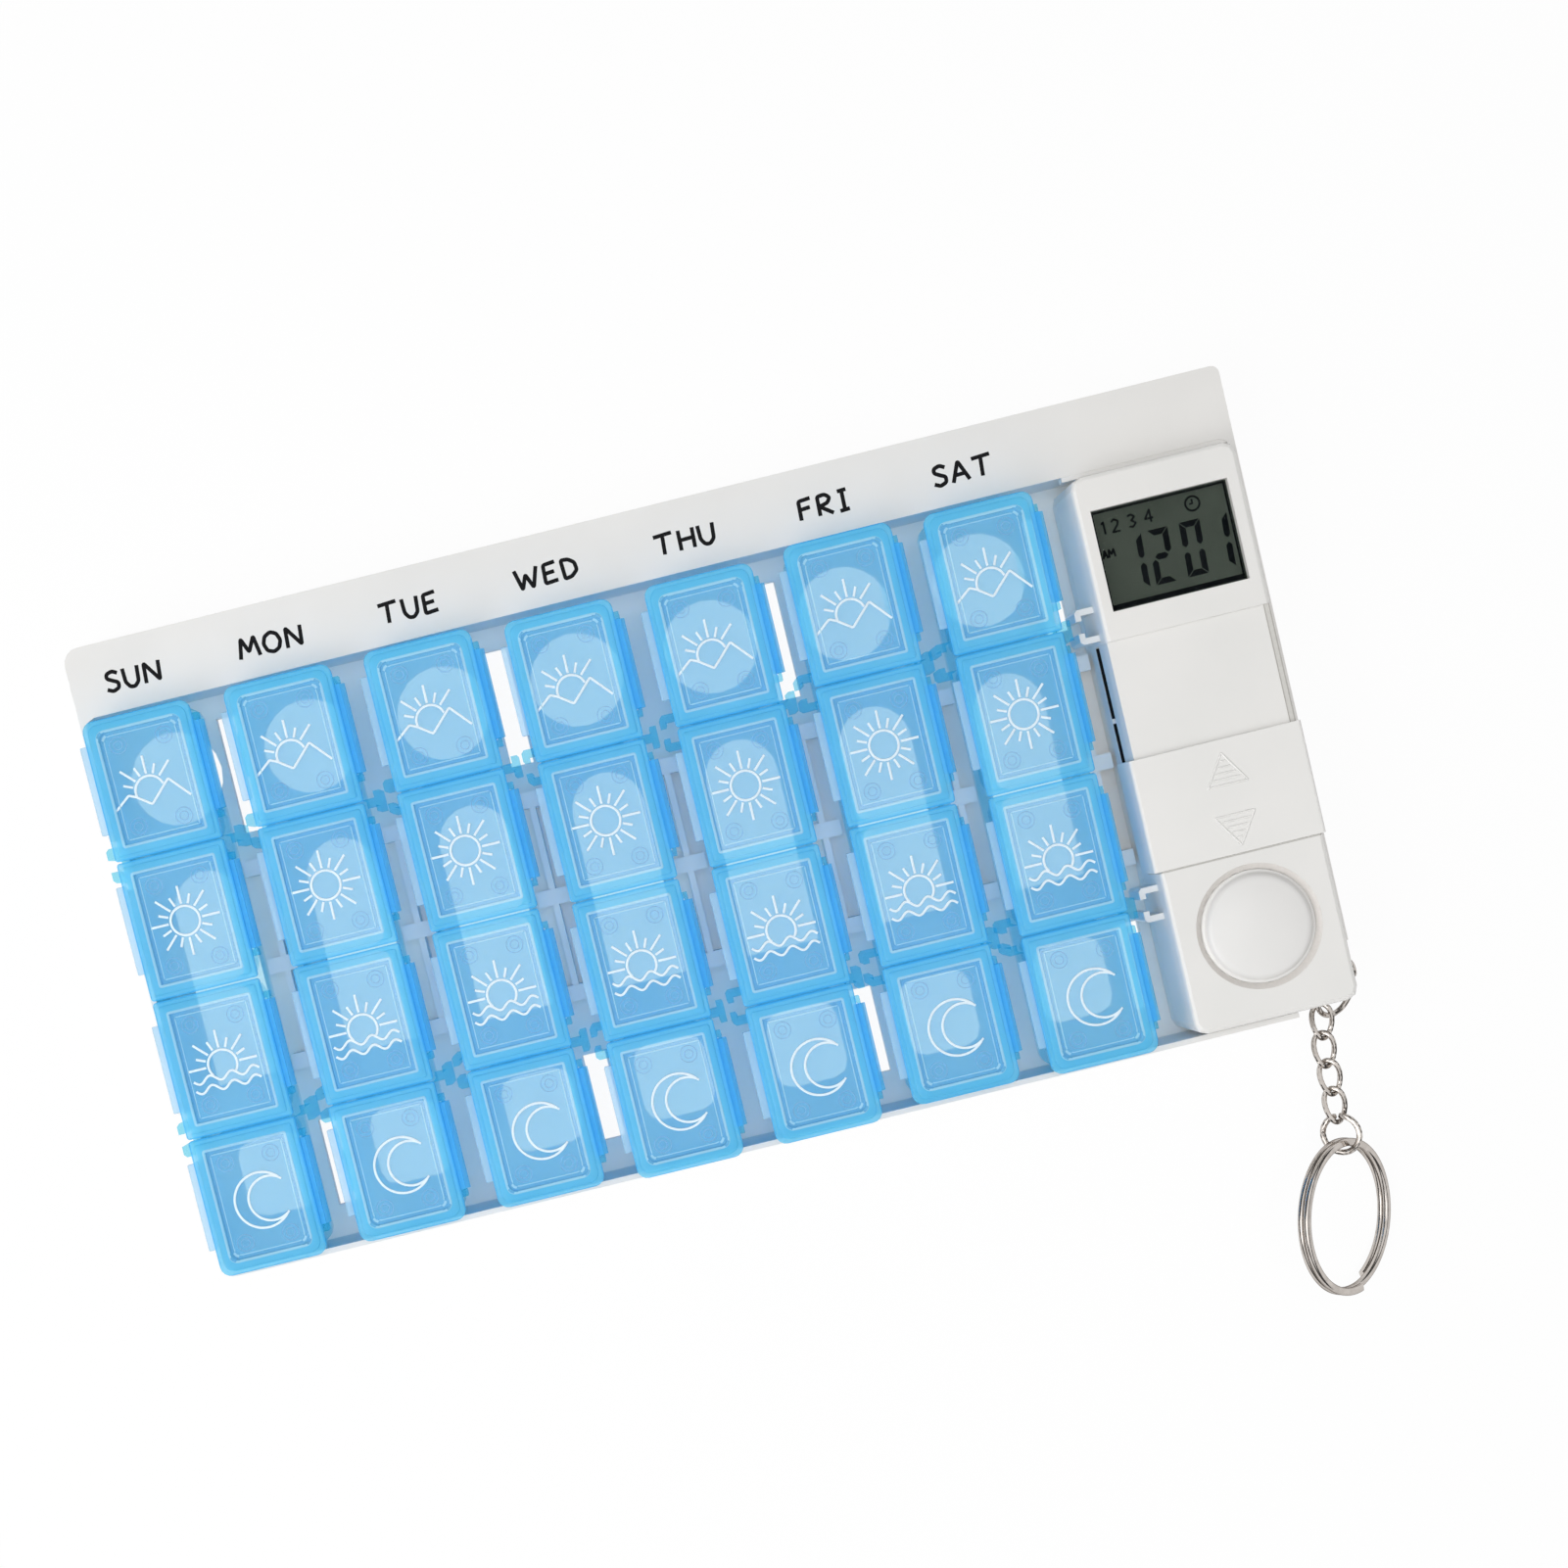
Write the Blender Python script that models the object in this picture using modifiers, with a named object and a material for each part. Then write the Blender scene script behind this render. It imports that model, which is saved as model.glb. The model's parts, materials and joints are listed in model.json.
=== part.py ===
"""Electronic weekly pill box: a tray of seven lift-out day strips with a clip-in timer.

Metres, +Z up. The origin is the middle of the tray's underside, +X runs along the tray
towards the timer and +Y towards the header that carries the day names.
"""

import bmesh
import bpy
from math import copysign, cos, pi, radians, sin
from mathutils import Matrix, Vector

# Clearances shared by every piece
GAP = 0.0003
OVERRUN = 0.001
ROOT = 0.0004
WELD = 0.00001
FINE_WELD = 0.0000004
SHARP_ANGLE = 35
FLAT_ANGLE = 0.2

# Tray
TRAY_LENGTH = 0.220
TRAY_WIDTH = 0.121
TRAY_HEIGHT = 0.016
TRAY_WALL = 0.001
TRAY_FLOOR = 0.0024
TRAY_CORNER = 0.003
HEADER_CORNER = 0.0015
CORNER_STEPS = 4
HEADER_DEPTH = 0.0133
HEADER_WALL = 0.0016
HEADER_POCKETS = 10

# Day strips and the columns that they stand in
DAYS = ("sun", "mon", "tue", "wed", "thu", "fri", "sat")
FIRST_STRIP_EDGE = 0.0025
STRIP_SPACE = 0.00776
STRIP_HEIGHT = 0.0197
STRIP_WALL = 0.0013
STRIP_FLOOR = 0.0012
STRIP_CORNER = 0.0018
STRIP_DRAFT = 0.0003
BACK_TO_LIDS = 0.0146
FRONT_TO_LIDS = 0.001
ROWS = 4
LID_OVERHANG_END = 0.0006
CELL_CORNER = 0.0022

# Where each strip has settled in its loose seat, as shares of the play
STRIP_SLIP_Y = 0.0006
STRIP_SLIP_X = 0.0003
SLIP_Y_SHARES = (0.1, 0.3, 0.4, -1.0, -0.8, 1.0, 0.0)
SLIP_X_SHARES = (0.0, 1.0, 1.0, 0.7, 0.7, 0.3, -0.6)

# Lids
LID_OVERHANG_SIDE = 0.0008
LID_THICKNESS = 0.0016
LID_CORNER = 0.002
LID_SPACING = 0.0003
PANEL_INSET = 0.0026
PANEL_DEPTH = 0.0003
PLUG_DEPTH = 0.0011
PLUG_WALL = 0.0009
TAB_SPACE = 0.00975
TAB_SHIFT = 0.00055
TAB_REACH = 0.0014
TAB_THICKNESS = 0.0012
TAB_DROP = 0.0008

# Hinge along each strip's right side
HINGE_OUT = 0.0006
HINGE_DROP = 0.0011
HINGE_ROD_RADIUS = 0.0004
HOOK_WALL = 0.0004
POST_LENGTH = 0.0012
POST_HEIGHT = 0.0026
POST_CROWN = 0.0003
ROD_SIDES = 6
CATCH_LENGTH = 0.008
CATCH_REACH = 0.0006
CATCH_HEIGHT = 0.0009
CATCH_DROP = 0.0013

# Side connectors that join loose strips: a T on the right, a C on the left
CONNECTOR_LOW = 0.0085
CONNECTOR_HIGH = 0.018
T_REACH = 0.0038
T_NECK = 0.0013
T_HEAD = 0.0038
T_HEAD_DEPTH = 0.0012
C_REACH = 0.0036
C_WIDTH = 0.0065
C_LIP = 0.0011
C_SIDE = 0.00115
C_MOUTH = 0.0023

# Ribs and windows of the tray's floor
BAR_HEIGHT = 0.008
BAR_DEPTH = 0.003
BAR_CLEARANCE = 0.0006
SPINE_WIDTH = 0.0012
BAR_ROW_SHARES = (1.23, 1.95, 2.66)
SLOT_WIDTH = 0.0044
SLOT_ROWS_SHARES = ((0.114, 0.964), (3.127, 3.77))
WINDOW_SHIFT = 0.0008
ROUND_WINDOW_MARGIN = 0.0003
WINDOW_MARGIN = 0.0023
WINDOW_ROW_SHARE = 0.46
ARCH_ROWS_SHARES = (1.154, 2.71)
END_WINDOW_SHARES = (3.16, 3.73)
END_WINDOW_CORNER = 0.003
SOCKET_NOTCH = 0.0095
NOTCH_FLOOR = 0.0075
CORNER_NOTCH = 0.012
CORNER_NOTCH_FLOOR = 0.0045

# Timer housing, placed from the tray's right, back and front edges
TIMER_WIDTH = 0.03075
TIMER_SPACE = 0.00799
TIMER_RIGHT = 0.002
TIMER_BACK = 0.0147
TIMER_FRONT = 0.0018
TIMER_TOP = 0.023
TIMER_SPLIT = 0.0065
TIMER_CORNER = 0.0022
TIMER_EDGE = 0.0008
CASE_WALL = 0.0016
CASE_ROOF = 0.0016
BACK_FLOOR = 0.0018
DISPLAY_SPACE = 0.00515
BUTTON_SPACE = 0.0033
SLIDEWAY_DROP = 0.0012
SIDE_STEP = 0.0003
GROOVE_LOW = 0.012
GROOVE_HEIGHT = 0.0018
GROOVE_DEPTH = 0.0009

# Slide cover
COVER_TOP = 0.0010
COVER_LEFT_OVERHANG = 0.00095
COVER_RIGHT_OVERHANG = 0.0006
COVER_EDGE = 0.0006
COVER_LIP_HEIGHT = 0.0012

# Display
WINDOW_LEFT = 0.0025
WINDOW_RIGHT = 0.00275
WINDOW_BACK = 0.0065
WINDOW_DEPTH = 0.01865
LENS_THICKNESS = 0.0006
PANEL_MARGIN = 0.0005
PANEL_THICKNESS = 0.0019
FRAME_WALL = 0.0014

# Button
BUTTON_SHIFT = 0.000175
BUTTON_SIDE = 0.005075
BUTTON_FRONT = 0.0069
BUTTON_RISE = 0.0025
BUTTON_SHOULDER = 0.0006
BUTTON_BAND = 0.001
BUTTON_BAND_RISE = 0.0012
BUTTON_SHELL = 0.0012
BUTTON_FLANGE = 0.0015
BUTTON_HOLE_CHAMFER = 0.001
BUTTON_STEM = 0.0025
BUTTON_STEM_LENGTH = 0.005
BUTTON_TRAVEL = 0.0008
BUTTON_STEPS = 28
DOME_POINTS = 4

# Keys under the slide cover
KEY_RADIUS = 0.0022
KEY_FLANGE = 0.0008
KEY_FLANGE_THICKNESS = 0.001
KEY_SPACING = 0.008
KEY_STEPS = 14
KEYS = 3

# Inside the timer
BOARD_LOW = 0.009
BOARD_THICKNESS = 0.0012
BOARD_FRONT = 0.01
BOARD_POST_RADIUS = 0.0016
BOARD_POST_SIDE = 0.004875
BOARD_POST_SHARES = (0.1, 0.87)
CELL_RADIUS = 0.01
CELL_THICKNESS = 0.0032
CELL_DOWN = 0.032
DOOR_MARGIN = 0.0012
DOOR_THICKNESS = 0.0016
DOOR_SLOT_LENGTH = 0.012
DOOR_SLOT_WIDTH = 0.0016
DOOR_SLOT_DEPTH = 0.0007
CONTACT_THICKNESS = 0.0006
CONTACT_WIDTH = 0.005
CONTACT_LENGTH = 0.009
CONTACT_FOOT = 0.0035
BUZZER_RADIUS = 0.006
BUZZER_HEIGHT = 0.004
BUZZER_BEHIND = 0.0293
SWITCH_SIZE = 0.006
SWITCH_HEIGHT = 0.0024
PLUNGER_RADIUS = 0.00175

# Key chain
CORNER_SOLID = 0.009
CHAIN_HEIGHT = 0.0105
CORNER_RING_X = 0.0027
CORNER_RING_Y = 0.0032
CORNER_RING_DROP = 0.0004
CORNER_RING_RADIUS = 0.0056
CORNER_RING_WIRE = 0.0011
CORNER_RING_TILT = -42
TUNNEL_CLEARANCE = 0.0004
LINK_WIRE = 0.0009
LINK_HALF_LENGTH = 0.0033
LINK_HALF_WIDTH = 0.0019
LINK_TWIST = -0.0007
LINK_PITCH = 0.0054
LINK_HEADINGS = (-98, -91, -93, -91)
LINK_POINTS = 20
RING_STEPS = 24
FIRST_LINK_BACK = 0.0042
FIRST_LINK_SIDE = 0.0047
JUMP_RING_RADIUS = 0.0036
JUMP_RING_WIRE = 0.001
JUMP_RING_ROLL = 38
RING_SPLIT_SHARE = 0.03
SPLIT_RING_RADIUS = 0.0142
SPLIT_RING_BAND = 0.0014
SPLIT_RING_THICKNESS = 0.0009
SPLIT_RING_TILT = 42
SPLIT_RING_HEADING = 78.7
SPLIT_RING_HEIGHT = 0.0108
SPLIT_RING_TURNS = 1.95
SPLIT_RING_POINTS = 88

# Colours: base, roughness, metallic, transmission
FINISHES = {
    "warm_white_abs": ((0.86, 0.85, 0.83), 0.4, 0.0, 0.0),
    "clear_blue": ((0.12, 0.48, 0.88), 0.25, 0.0, 0.6),
    "display_glass": ((0.25, 0.30, 0.25), 0.15, 0.0, 0.0),
    "clear_lens": ((0.75, 0.80, 0.78), 0.05, 0.0, 0.8),
    "board_green": ((0.05, 0.22, 0.10), 0.5, 0.0, 0.0),
    "dark_plastic": ((0.03, 0.03, 0.035), 0.5, 0.0, 0.0),
    "bright_steel": ((0.75, 0.74, 0.72), 0.2, 1.0, 0.0),
    "pearl_white": ((0.88, 0.87, 0.85), 0.25, 0.0, 0.0),
}

# Places worked out from the sizes above
LEFT = -TRAY_LENGTH / 2
RIGHT = TRAY_LENGTH / 2
BACK = TRAY_WIDTH / 2
FRONT = -TRAY_WIDTH / 2
SEAT = TRAY_FLOOR + GAP
TIMER_DEPTH = TRAY_WIDTH - TIMER_BACK - TIMER_FRONT
CASE_X = (RIGHT - TIMER_RIGHT - TIMER_WIDTH, RIGHT - TIMER_RIGHT)
CASE_Y = (BACK - TIMER_BACK - TIMER_DEPTH, BACK - TIMER_BACK)
CASE_LOW = TIMER_SPLIT + GAP
CASE_MIDDLE = (CASE_X[0] + CASE_X[1]) / 2
STRIPS_X = (LEFT + FIRST_STRIP_EDGE, CASE_X[0] - TIMER_SPACE)
COLUMN_PITCH = (STRIPS_X[1] - STRIPS_X[0] + STRIP_SPACE) / len(DAYS)
STRIP_WIDTH = COLUMN_PITCH - STRIP_SPACE
FIRST_COLUMN = FIRST_STRIP_EDGE + STRIP_WIDTH / 2
ROW_PITCH = (TRAY_WIDTH - BACK_TO_LIDS - FRONT_TO_LIDS) / ROWS
RIM = SEAT + STRIP_HEIGHT
LID_LOW = RIM + GAP
LID_TOP = LID_LOW + LID_THICKNESS
LID_WIDTH = STRIP_WIDTH + 2 * LID_OVERHANG_SIDE
TAB_LENGTH = ROW_PITCH - TAB_SPACE
HINGE_X = LID_WIDTH / 2 + HINGE_OUT
HINGE_Z = LID_LOW - HINGE_DROP
HOOK_BORE = HINGE_ROD_RADIUS + GAP
HOOK_RADIUS = HOOK_BORE + HOOK_WALL
LIDS_BACK = BACK - BACK_TO_LIDS
STRIP_LENGTH = ROWS * ROW_PITCH - 2 * LID_OVERHANG_END
STRIP_MIDDLE = LIDS_BACK - ROWS * ROW_PITCH / 2
WINDOW_LENGTH = TIMER_WIDTH - WINDOW_LEFT - WINDOW_RIGHT
BUTTON_RADIUS = TIMER_WIDTH / 2 - BUTTON_SIDE
BUTTON_X = CASE_MIDDLE + BUTTON_SHIFT
BUTTON_Y = CASE_Y[0] + BUTTON_FRONT + BUTTON_RADIUS
SLIDEWAY_START = WINDOW_BACK + WINDOW_DEPTH + DISPLAY_SPACE
SLIDEWAY_Y = (BUTTON_Y + BUTTON_RADIUS + BUTTON_SPACE, CASE_Y[1] - SLIDEWAY_START)
COVER_LENGTH = (SLIDEWAY_Y[1] - SLIDEWAY_Y[0]) / 2
SLIDEWAY_TOP = TIMER_TOP - SLIDEWAY_DROP
ROOF_LOW = TIMER_TOP - CASE_ROOF
SLIDEWAY_LOW = SLIDEWAY_TOP - CASE_ROOF
BOARD_HIGH = BOARD_LOW + BOARD_THICKNESS
CORNER_X = CASE_X[1]
CORNER_Y = CASE_Y[0]
CORNER_RING_CENTRE = Vector(
    (RIGHT - CORNER_RING_X, FRONT + CORNER_RING_Y, CHAIN_HEIGHT - CORNER_RING_DROP)
)


def start_scene():
    """An empty scene with one collection for the pill box and one for its cutters."""
    for old in list(bpy.data.objects):
        bpy.data.objects.remove(old)
    parts = bpy.data.collections.new("electronic_pill_box")
    tools = bpy.data.collections.new("cutters")
    tools.hide_render = True
    for made in (parts, tools):
        bpy.context.scene.collection.children.link(made)
    return parts, tools


PARTS, CUTTERS = start_scene()


def finish(name):
    """The material of that name, made on first use."""
    if name in bpy.data.materials:
        return bpy.data.materials[name]
    colour, roughness, metallic, transmission = FINISHES[name]
    material = bpy.data.materials.new(name)
    material.use_nodes = True
    shader = material.node_tree.nodes["Principled BSDF"]
    shader.inputs["Base Color"].default_value = (*colour, 1)
    shader.inputs["Roughness"].default_value = roughness
    shader.inputs["Metallic"].default_value = metallic
    shader.inputs["Transmission Weight"].default_value = transmission
    material.diffuse_color = (*colour, 1)
    return material


def place(name, mesh, material=None, at=(0, 0, 0), collection=None):
    """An object of this mesh in the parts, or in another collection."""
    obj = bpy.data.objects.new(name, mesh)
    obj.location = at
    (collection or PARTS).objects.link(obj)
    if material and not mesh.materials:
        mesh.materials.append(finish(material))
    return obj


def smooth(mesh):
    mesh.shade_smooth()
    mesh.set_sharp_from_angle(angle=radians(SHARP_ANGLE))
    return mesh


def mesh_from(name, shape):
    """The mesh of a bmesh, its faces pointing out."""
    bmesh.ops.recalc_face_normals(shape, faces=shape.faces)
    mesh = bpy.data.meshes.new(name)
    shape.to_mesh(mesh)
    shape.free()
    return mesh


def block_mesh(name, x, y, z, corner=0, edge=0, segments=2):
    """A block between (low, high) limits, with round upright corners and a round top edge."""
    shape = bmesh.new()
    bmesh.ops.create_cube(shape, size=1)
    size = Vector((x[1] - x[0], y[1] - y[0], z[1] - z[0]))
    middle = Vector((x[1] + x[0], y[1] + y[0], z[1] + z[0])) / 2
    bmesh.ops.scale(shape, vec=size, verts=shape.verts)
    bmesh.ops.translate(shape, vec=middle, verts=shape.verts)
    if corner:
        upright = [e for e in shape.edges if abs(e.verts[0].co.z - e.verts[1].co.z) > size.z / 2]
        bmesh.ops.bevel(
            shape, geom=upright, offset=corner, segments=segments, profile=0.5, affect="EDGES"
        )
    if edge:
        top = [e for e in shape.edges if all(v.co.z > z[1] - edge / 2 for v in e.verts)]
        bmesh.ops.bevel(shape, geom=top, offset=edge, segments=2, profile=0.5, affect="EDGES")
    return mesh_from(name, shape)


def rod_mesh(name, radius, low, high, sides, turn=None):
    """A round bar standing on Z from low to high, then turned by a matrix."""
    shape = bmesh.new()
    bmesh.ops.create_cone(
        shape, cap_ends=True, segments=sides, radius1=radius, radius2=radius, depth=high - low
    )
    bmesh.ops.translate(shape, vec=(0, 0, (low + high) / 2), verts=shape.verts)
    if turn:
        bmesh.ops.transform(shape, matrix=turn, verts=shape.verts)
    return mesh_from(name, shape)


def evaluated_mesh(obj, name):
    """What an object's curve or modifiers come to, welded and with flat faces merged."""
    graph = bpy.context.evaluated_depsgraph_get()
    mesh = bpy.data.meshes.new_from_object(obj.evaluated_get(graph))
    mesh.name = name
    bpy.data.objects.remove(obj)
    welded = bmesh.new()
    welded.from_mesh(mesh)
    bmesh.ops.remove_doubles(welded, verts=welded.verts, dist=FINE_WELD)
    bmesh.ops.dissolve_limit(
        welded, angle_limit=radians(FLAT_ANGLE), verts=welded.verts, edges=welded.edges
    )
    bmesh.ops.recalc_face_normals(welded, faces=welded.faces)
    welded.to_mesh(mesh)
    welded.free()
    return mesh


def plate_mesh(name, points, low, high, along="Z"):
    """A flat outline filled and given thickness from low to high along Z or along Y."""
    curve = bpy.data.curves.new(name, "CURVE")
    curve.dimensions = "2D"
    curve.fill_mode = "BOTH"
    curve.extrude = (high - low) / 2
    outline = curve.splines.new("POLY")
    outline.points.add(len(points) - 1)
    for spot, (across, up) in zip(outline.points, points):
        spot.co = (across, up, 0, 1)
    outline.use_cyclic_u = True
    mesh = evaluated_mesh(place(name, curve, collection=CUTTERS), name)
    mesh.transform(Matrix.Translation((0, 0, (low + high) / 2)))
    if along == "Y":
        mesh.transform(Matrix.Rotation(pi / 2, 4, "X"))
        mesh.transform(Matrix.Translation((0, low + high, 0)))
    return mesh


def arc(centre, radius, start, end, steps):
    """Points on an arc, from one angle to another in degrees."""
    angles = [radians(start + (end - start) * step / steps) for step in range(steps + 1)]
    return [(centre[0] + radius * cos(a), centre[1] + radius * sin(a)) for a in angles]


def combine(name, base, joins=(), cuts=()):
    """One mesh: the base with the first meshes joined on and the second cut away."""
    body = place(name, base, collection=CUTTERS)
    helpers = [body]
    for operation, tools in (("UNION", joins), ("DIFFERENCE", cuts)):
        for tool in tools:
            helper = place(name + "_tool", tool, collection=CUTTERS)
            helper.display_type = "WIRE"
            helpers.append(helper)
            modifier = body.modifiers.new(operation.lower(), "BOOLEAN")
            modifier.operation = operation
            modifier.object = helper
            modifier.solver = "EXACT"
    mesh = evaluated_mesh(body, name)
    for helper in helpers[1:]:
        bpy.data.objects.remove(helper)
    mesh.materials.clear()
    return smooth(mesh)


def turned_mesh(name, profile, steps):
    """A profile of (radius, height) points turned round Z."""
    shape = bmesh.new()
    verts = [shape.verts.new((radius, 0, height)) for radius, height in profile]
    for first, second in zip(verts, verts[1:]):
        shape.edges.new((first, second))
    mesh = bpy.data.meshes.new(name)
    shape.to_mesh(mesh)
    shape.free()
    obj = place(name, mesh, collection=CUTTERS)
    screw = obj.modifiers.new("turn", "SCREW")
    screw.steps = screw.render_steps = steps
    screw.use_merge_vertices = True
    screw.merge_threshold = WELD
    return smooth(evaluated_mesh(obj, name))


def moved(mesh, x=0, y=0, z=0):
    copy = mesh.copy()
    copy.transform(Matrix.Translation((x, y, z)))
    return copy


def column_x(column):
    return LEFT + FIRST_COLUMN + column * COLUMN_PITCH


def row_y(share):
    """The height on the tray of a place counted in rows from the header side of the lids."""
    return LIDS_BACK - share * ROW_PITCH


def t_outline(wall):
    """The T that stands on a strip's right wall, seen from above."""
    neck = T_NECK / 2
    head = T_HEAD / 2
    shoulder = wall + T_REACH - T_HEAD_DEPTH
    tip = wall + T_REACH
    half = [(wall - ROOT, neck), (shoulder, neck), (shoulder, head), (tip, head)]
    return half + [(x, -y) for x, y in reversed(half)]


def c_outline(wall):
    """The C that stands on a left wall: two side arms with lips that face each other."""
    side = C_WIDTH / 2
    mouth = C_MOUTH / 2
    tip = wall - C_REACH
    hook = tip + C_LIP
    inner = side - C_SIDE
    half = [(wall + ROOT, side), (tip + C_LIP / 2, side), (tip, side - C_LIP / 2)]
    half += [(tip, mouth), (hook, mouth), (hook, inner), (wall, inner)]
    return half + [(x, -y) for x, y in reversed(half)]


def tray_ribs():
    """Between each two columns, a spine with three cross bars that keep the strips apart."""
    ribs = []
    reach = (COLUMN_PITCH - STRIP_WIDTH) / 2 - BAR_CLEARANCE
    for column in range(len(DAYS)):
        middle = column_x(column) + COLUMN_PITCH / 2
        spine_x = (middle - SPINE_WIDTH / 2, middle + SPINE_WIDTH / 2)
        spine_y = (row_y(BAR_ROW_SHARES[-1]), row_y(BAR_ROW_SHARES[0]))
        heights = (TRAY_FLOOR - ROOT, BAR_HEIGHT)
        bars = []
        for share in BAR_ROW_SHARES:
            bar_y = (row_y(share) - BAR_DEPTH / 2, row_y(share) + BAR_DEPTH / 2)
            bars.append(block_mesh("bar", (middle - reach, middle + reach), bar_y, heights))
        low_spine = (TRAY_FLOOR - ROOT, BAR_HEIGHT - ROOT)
        ribs.append(combine("rib", block_mesh("spine", spine_x, spine_y, low_spine), bars))
    return ribs


def tray_openings():
    """Slots between columns and finger windows under each strip, all through the floor."""
    through = (-OVERRUN, TRAY_FLOOR + OVERRUN)
    cuts = []
    for column in range(0, len(DAYS), 2):
        middle = column_x(column) + COLUMN_PITCH / 2
        slot_x = (middle - SLOT_WIDTH / 2, middle + SLOT_WIDTH / 2)
        for back_share, front_share in SLOT_ROWS_SHARES:
            slot_y = (row_y(front_share), row_y(back_share))
            cuts.append(block_mesh("slot", slot_x, slot_y, through))
    radius = STRIP_WIDTH / 2 - ROUND_WINDOW_MARGIN
    half = STRIP_WIDTH / 2 - WINDOW_MARGIN
    for column in range(len(DAYS)):
        x = column_x(column) + WINDOW_SHIFT
        round_window = rod_mesh("round_window", radius, *through, sides=20)
        cuts.append(moved(round_window, x, row_y(WINDOW_ROW_SHARE)))
        top, bottom = (row_y(share) for share in ARCH_ROWS_SHARES)
        outline = arc((x, top - half), half, 0, 180, 10) + [(x - half, bottom), (x + half, bottom)]
        cuts.append(plate_mesh("arch_window", outline, *through))
        top, bottom = (row_y(share) for share in END_WINDOW_SHARES)
        end_x = (x - half, x + half)
        cuts.append(block_mesh("end_window", end_x, (bottom, top), through, END_WINDOW_CORNER))
    return cuts


def header_pockets():
    """The hollow underside of the header, split by cross webs."""
    inner = TRAY_LENGTH - 2 * HEADER_WALL
    pitch = (inner + HEADER_WALL) / HEADER_POCKETS
    y = (BACK - HEADER_DEPTH + HEADER_WALL, BACK - HEADER_WALL)
    z = (-OVERRUN, TRAY_HEIGHT - HEADER_WALL)
    first = LEFT + HEADER_WALL
    starts = [first + pocket * pitch for pocket in range(HEADER_POCKETS)]
    return [block_mesh("header_pocket", (x, x + pitch - HEADER_WALL), y, z) for x in starts]


def tray_outline():
    """The tray from above: the header's corner over the timer is sharper than the other three."""
    places = (
        (RIGHT, BACK, HEADER_CORNER, 0),
        (LEFT, BACK, TRAY_CORNER, 90),
        (LEFT, FRONT, TRAY_CORNER, 180),
        (RIGHT, FRONT, TRAY_CORNER, 270),
    )
    outline = []
    for x, y, radius, start in places:
        centre = (x - copysign(radius, x), y - copysign(radius, y))
        outline += arc(centre, radius, start, start + 90, CORNER_STEPS)
    return outline


def make_tray():
    """The white tray: header, thin outer wall, ribbed floor with slots and windows."""
    above = TRAY_HEIGHT + OVERRUN
    body = plate_mesh("tray", tray_outline(), 0, TRAY_HEIGHT)
    pocket = block_mesh(
        "pocket",
        (LEFT + TRAY_WALL, RIGHT - TRAY_WALL),
        (FRONT + TRAY_WALL, BACK - HEADER_DEPTH),
        (TRAY_FLOOR, above),
        TRAY_CORNER - TRAY_WALL,
    )
    shell = combine("tray", body, cuts=[pocket, *header_pockets(), *tray_openings()])
    notches = []
    for boundary in (1, ROWS - 1):
        y = (row_y(boundary) - SOCKET_NOTCH / 2, row_y(boundary) + SOCKET_NOTCH / 2)
        x = (LEFT - OVERRUN, LEFT + TRAY_WALL + OVERRUN)
        notches.append(block_mesh("socket_notch", x, y, (NOTCH_FLOOR, above)))
    x = (RIGHT - CORNER_NOTCH, RIGHT + OVERRUN)
    y = (FRONT - OVERRUN, FRONT + CORNER_NOTCH)
    notches.append(block_mesh("corner_notch", x, y, (CORNER_NOTCH_FLOOR, above)))
    place("tray", combine("tray", shell, tray_ribs(), notches), "warm_white_abs")


def strip_shell():
    """The four-cell trough of a strip, centred on its column, walls drawn in towards the foot."""
    half = STRIP_WIDTH / 2
    y = (-STRIP_LENGTH / 2, STRIP_LENGTH / 2)
    body = block_mesh("strip", (-half, half), y, (0, STRIP_HEIGHT), STRIP_CORNER)
    for vert in body.vertices:
        if vert.co.z < STRIP_HEIGHT / 2:
            vert.co.x *= 1 - STRIP_DRAFT / half
    x = (-half + STRIP_WALL, half - STRIP_WALL)
    z = (STRIP_FLOOR, STRIP_HEIGHT + OVERRUN)
    end = STRIP_LENGTH / 2 - STRIP_WALL
    cells = []
    for row in range(ROWS):
        back = (ROWS / 2 - row) * ROW_PITCH
        front = back - ROW_PITCH
        inner_y = (max(front + STRIP_WALL / 2, -end), min(back - STRIP_WALL / 2, end))
        cells.append(block_mesh("cell", x, inner_y, z, CELL_CORNER))
    return body, cells


def hinge_posts():
    """Posts at both ends of each lid's hook, with the thin rod that the hook clips over."""
    z = HINGE_Z - SEAT
    inner = STRIP_WIDTH / 2 - STRIP_WALL / 2
    outer = HINGE_X + POST_CROWN
    turn = Matrix.Translation((HINGE_X, 0, z)) @ Matrix.Rotation(-pi / 2, 4, "X")
    posts = []
    rods = []
    for row in range(ROWS):
        middle = (ROWS / 2 - row - 0.5) * ROW_PITCH + TAB_SHIFT
        end = TAB_LENGTH / 2 + GAP
        for side in (-1, 1):
            low, high = sorted((middle + side * end, middle + side * (end + POST_LENGTH)))
            top = z + HINGE_ROD_RADIUS + POST_CROWN
            posts.append(block_mesh("post", (inner, outer), (low, high), (top - POST_HEIGHT, top)))
        reach = end + POST_LENGTH / 2
        rods.append(
            rod_mesh("rod", HINGE_ROD_RADIUS, middle - reach, middle + reach, ROD_SIDES, turn)
        )
    return posts, rods


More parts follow.
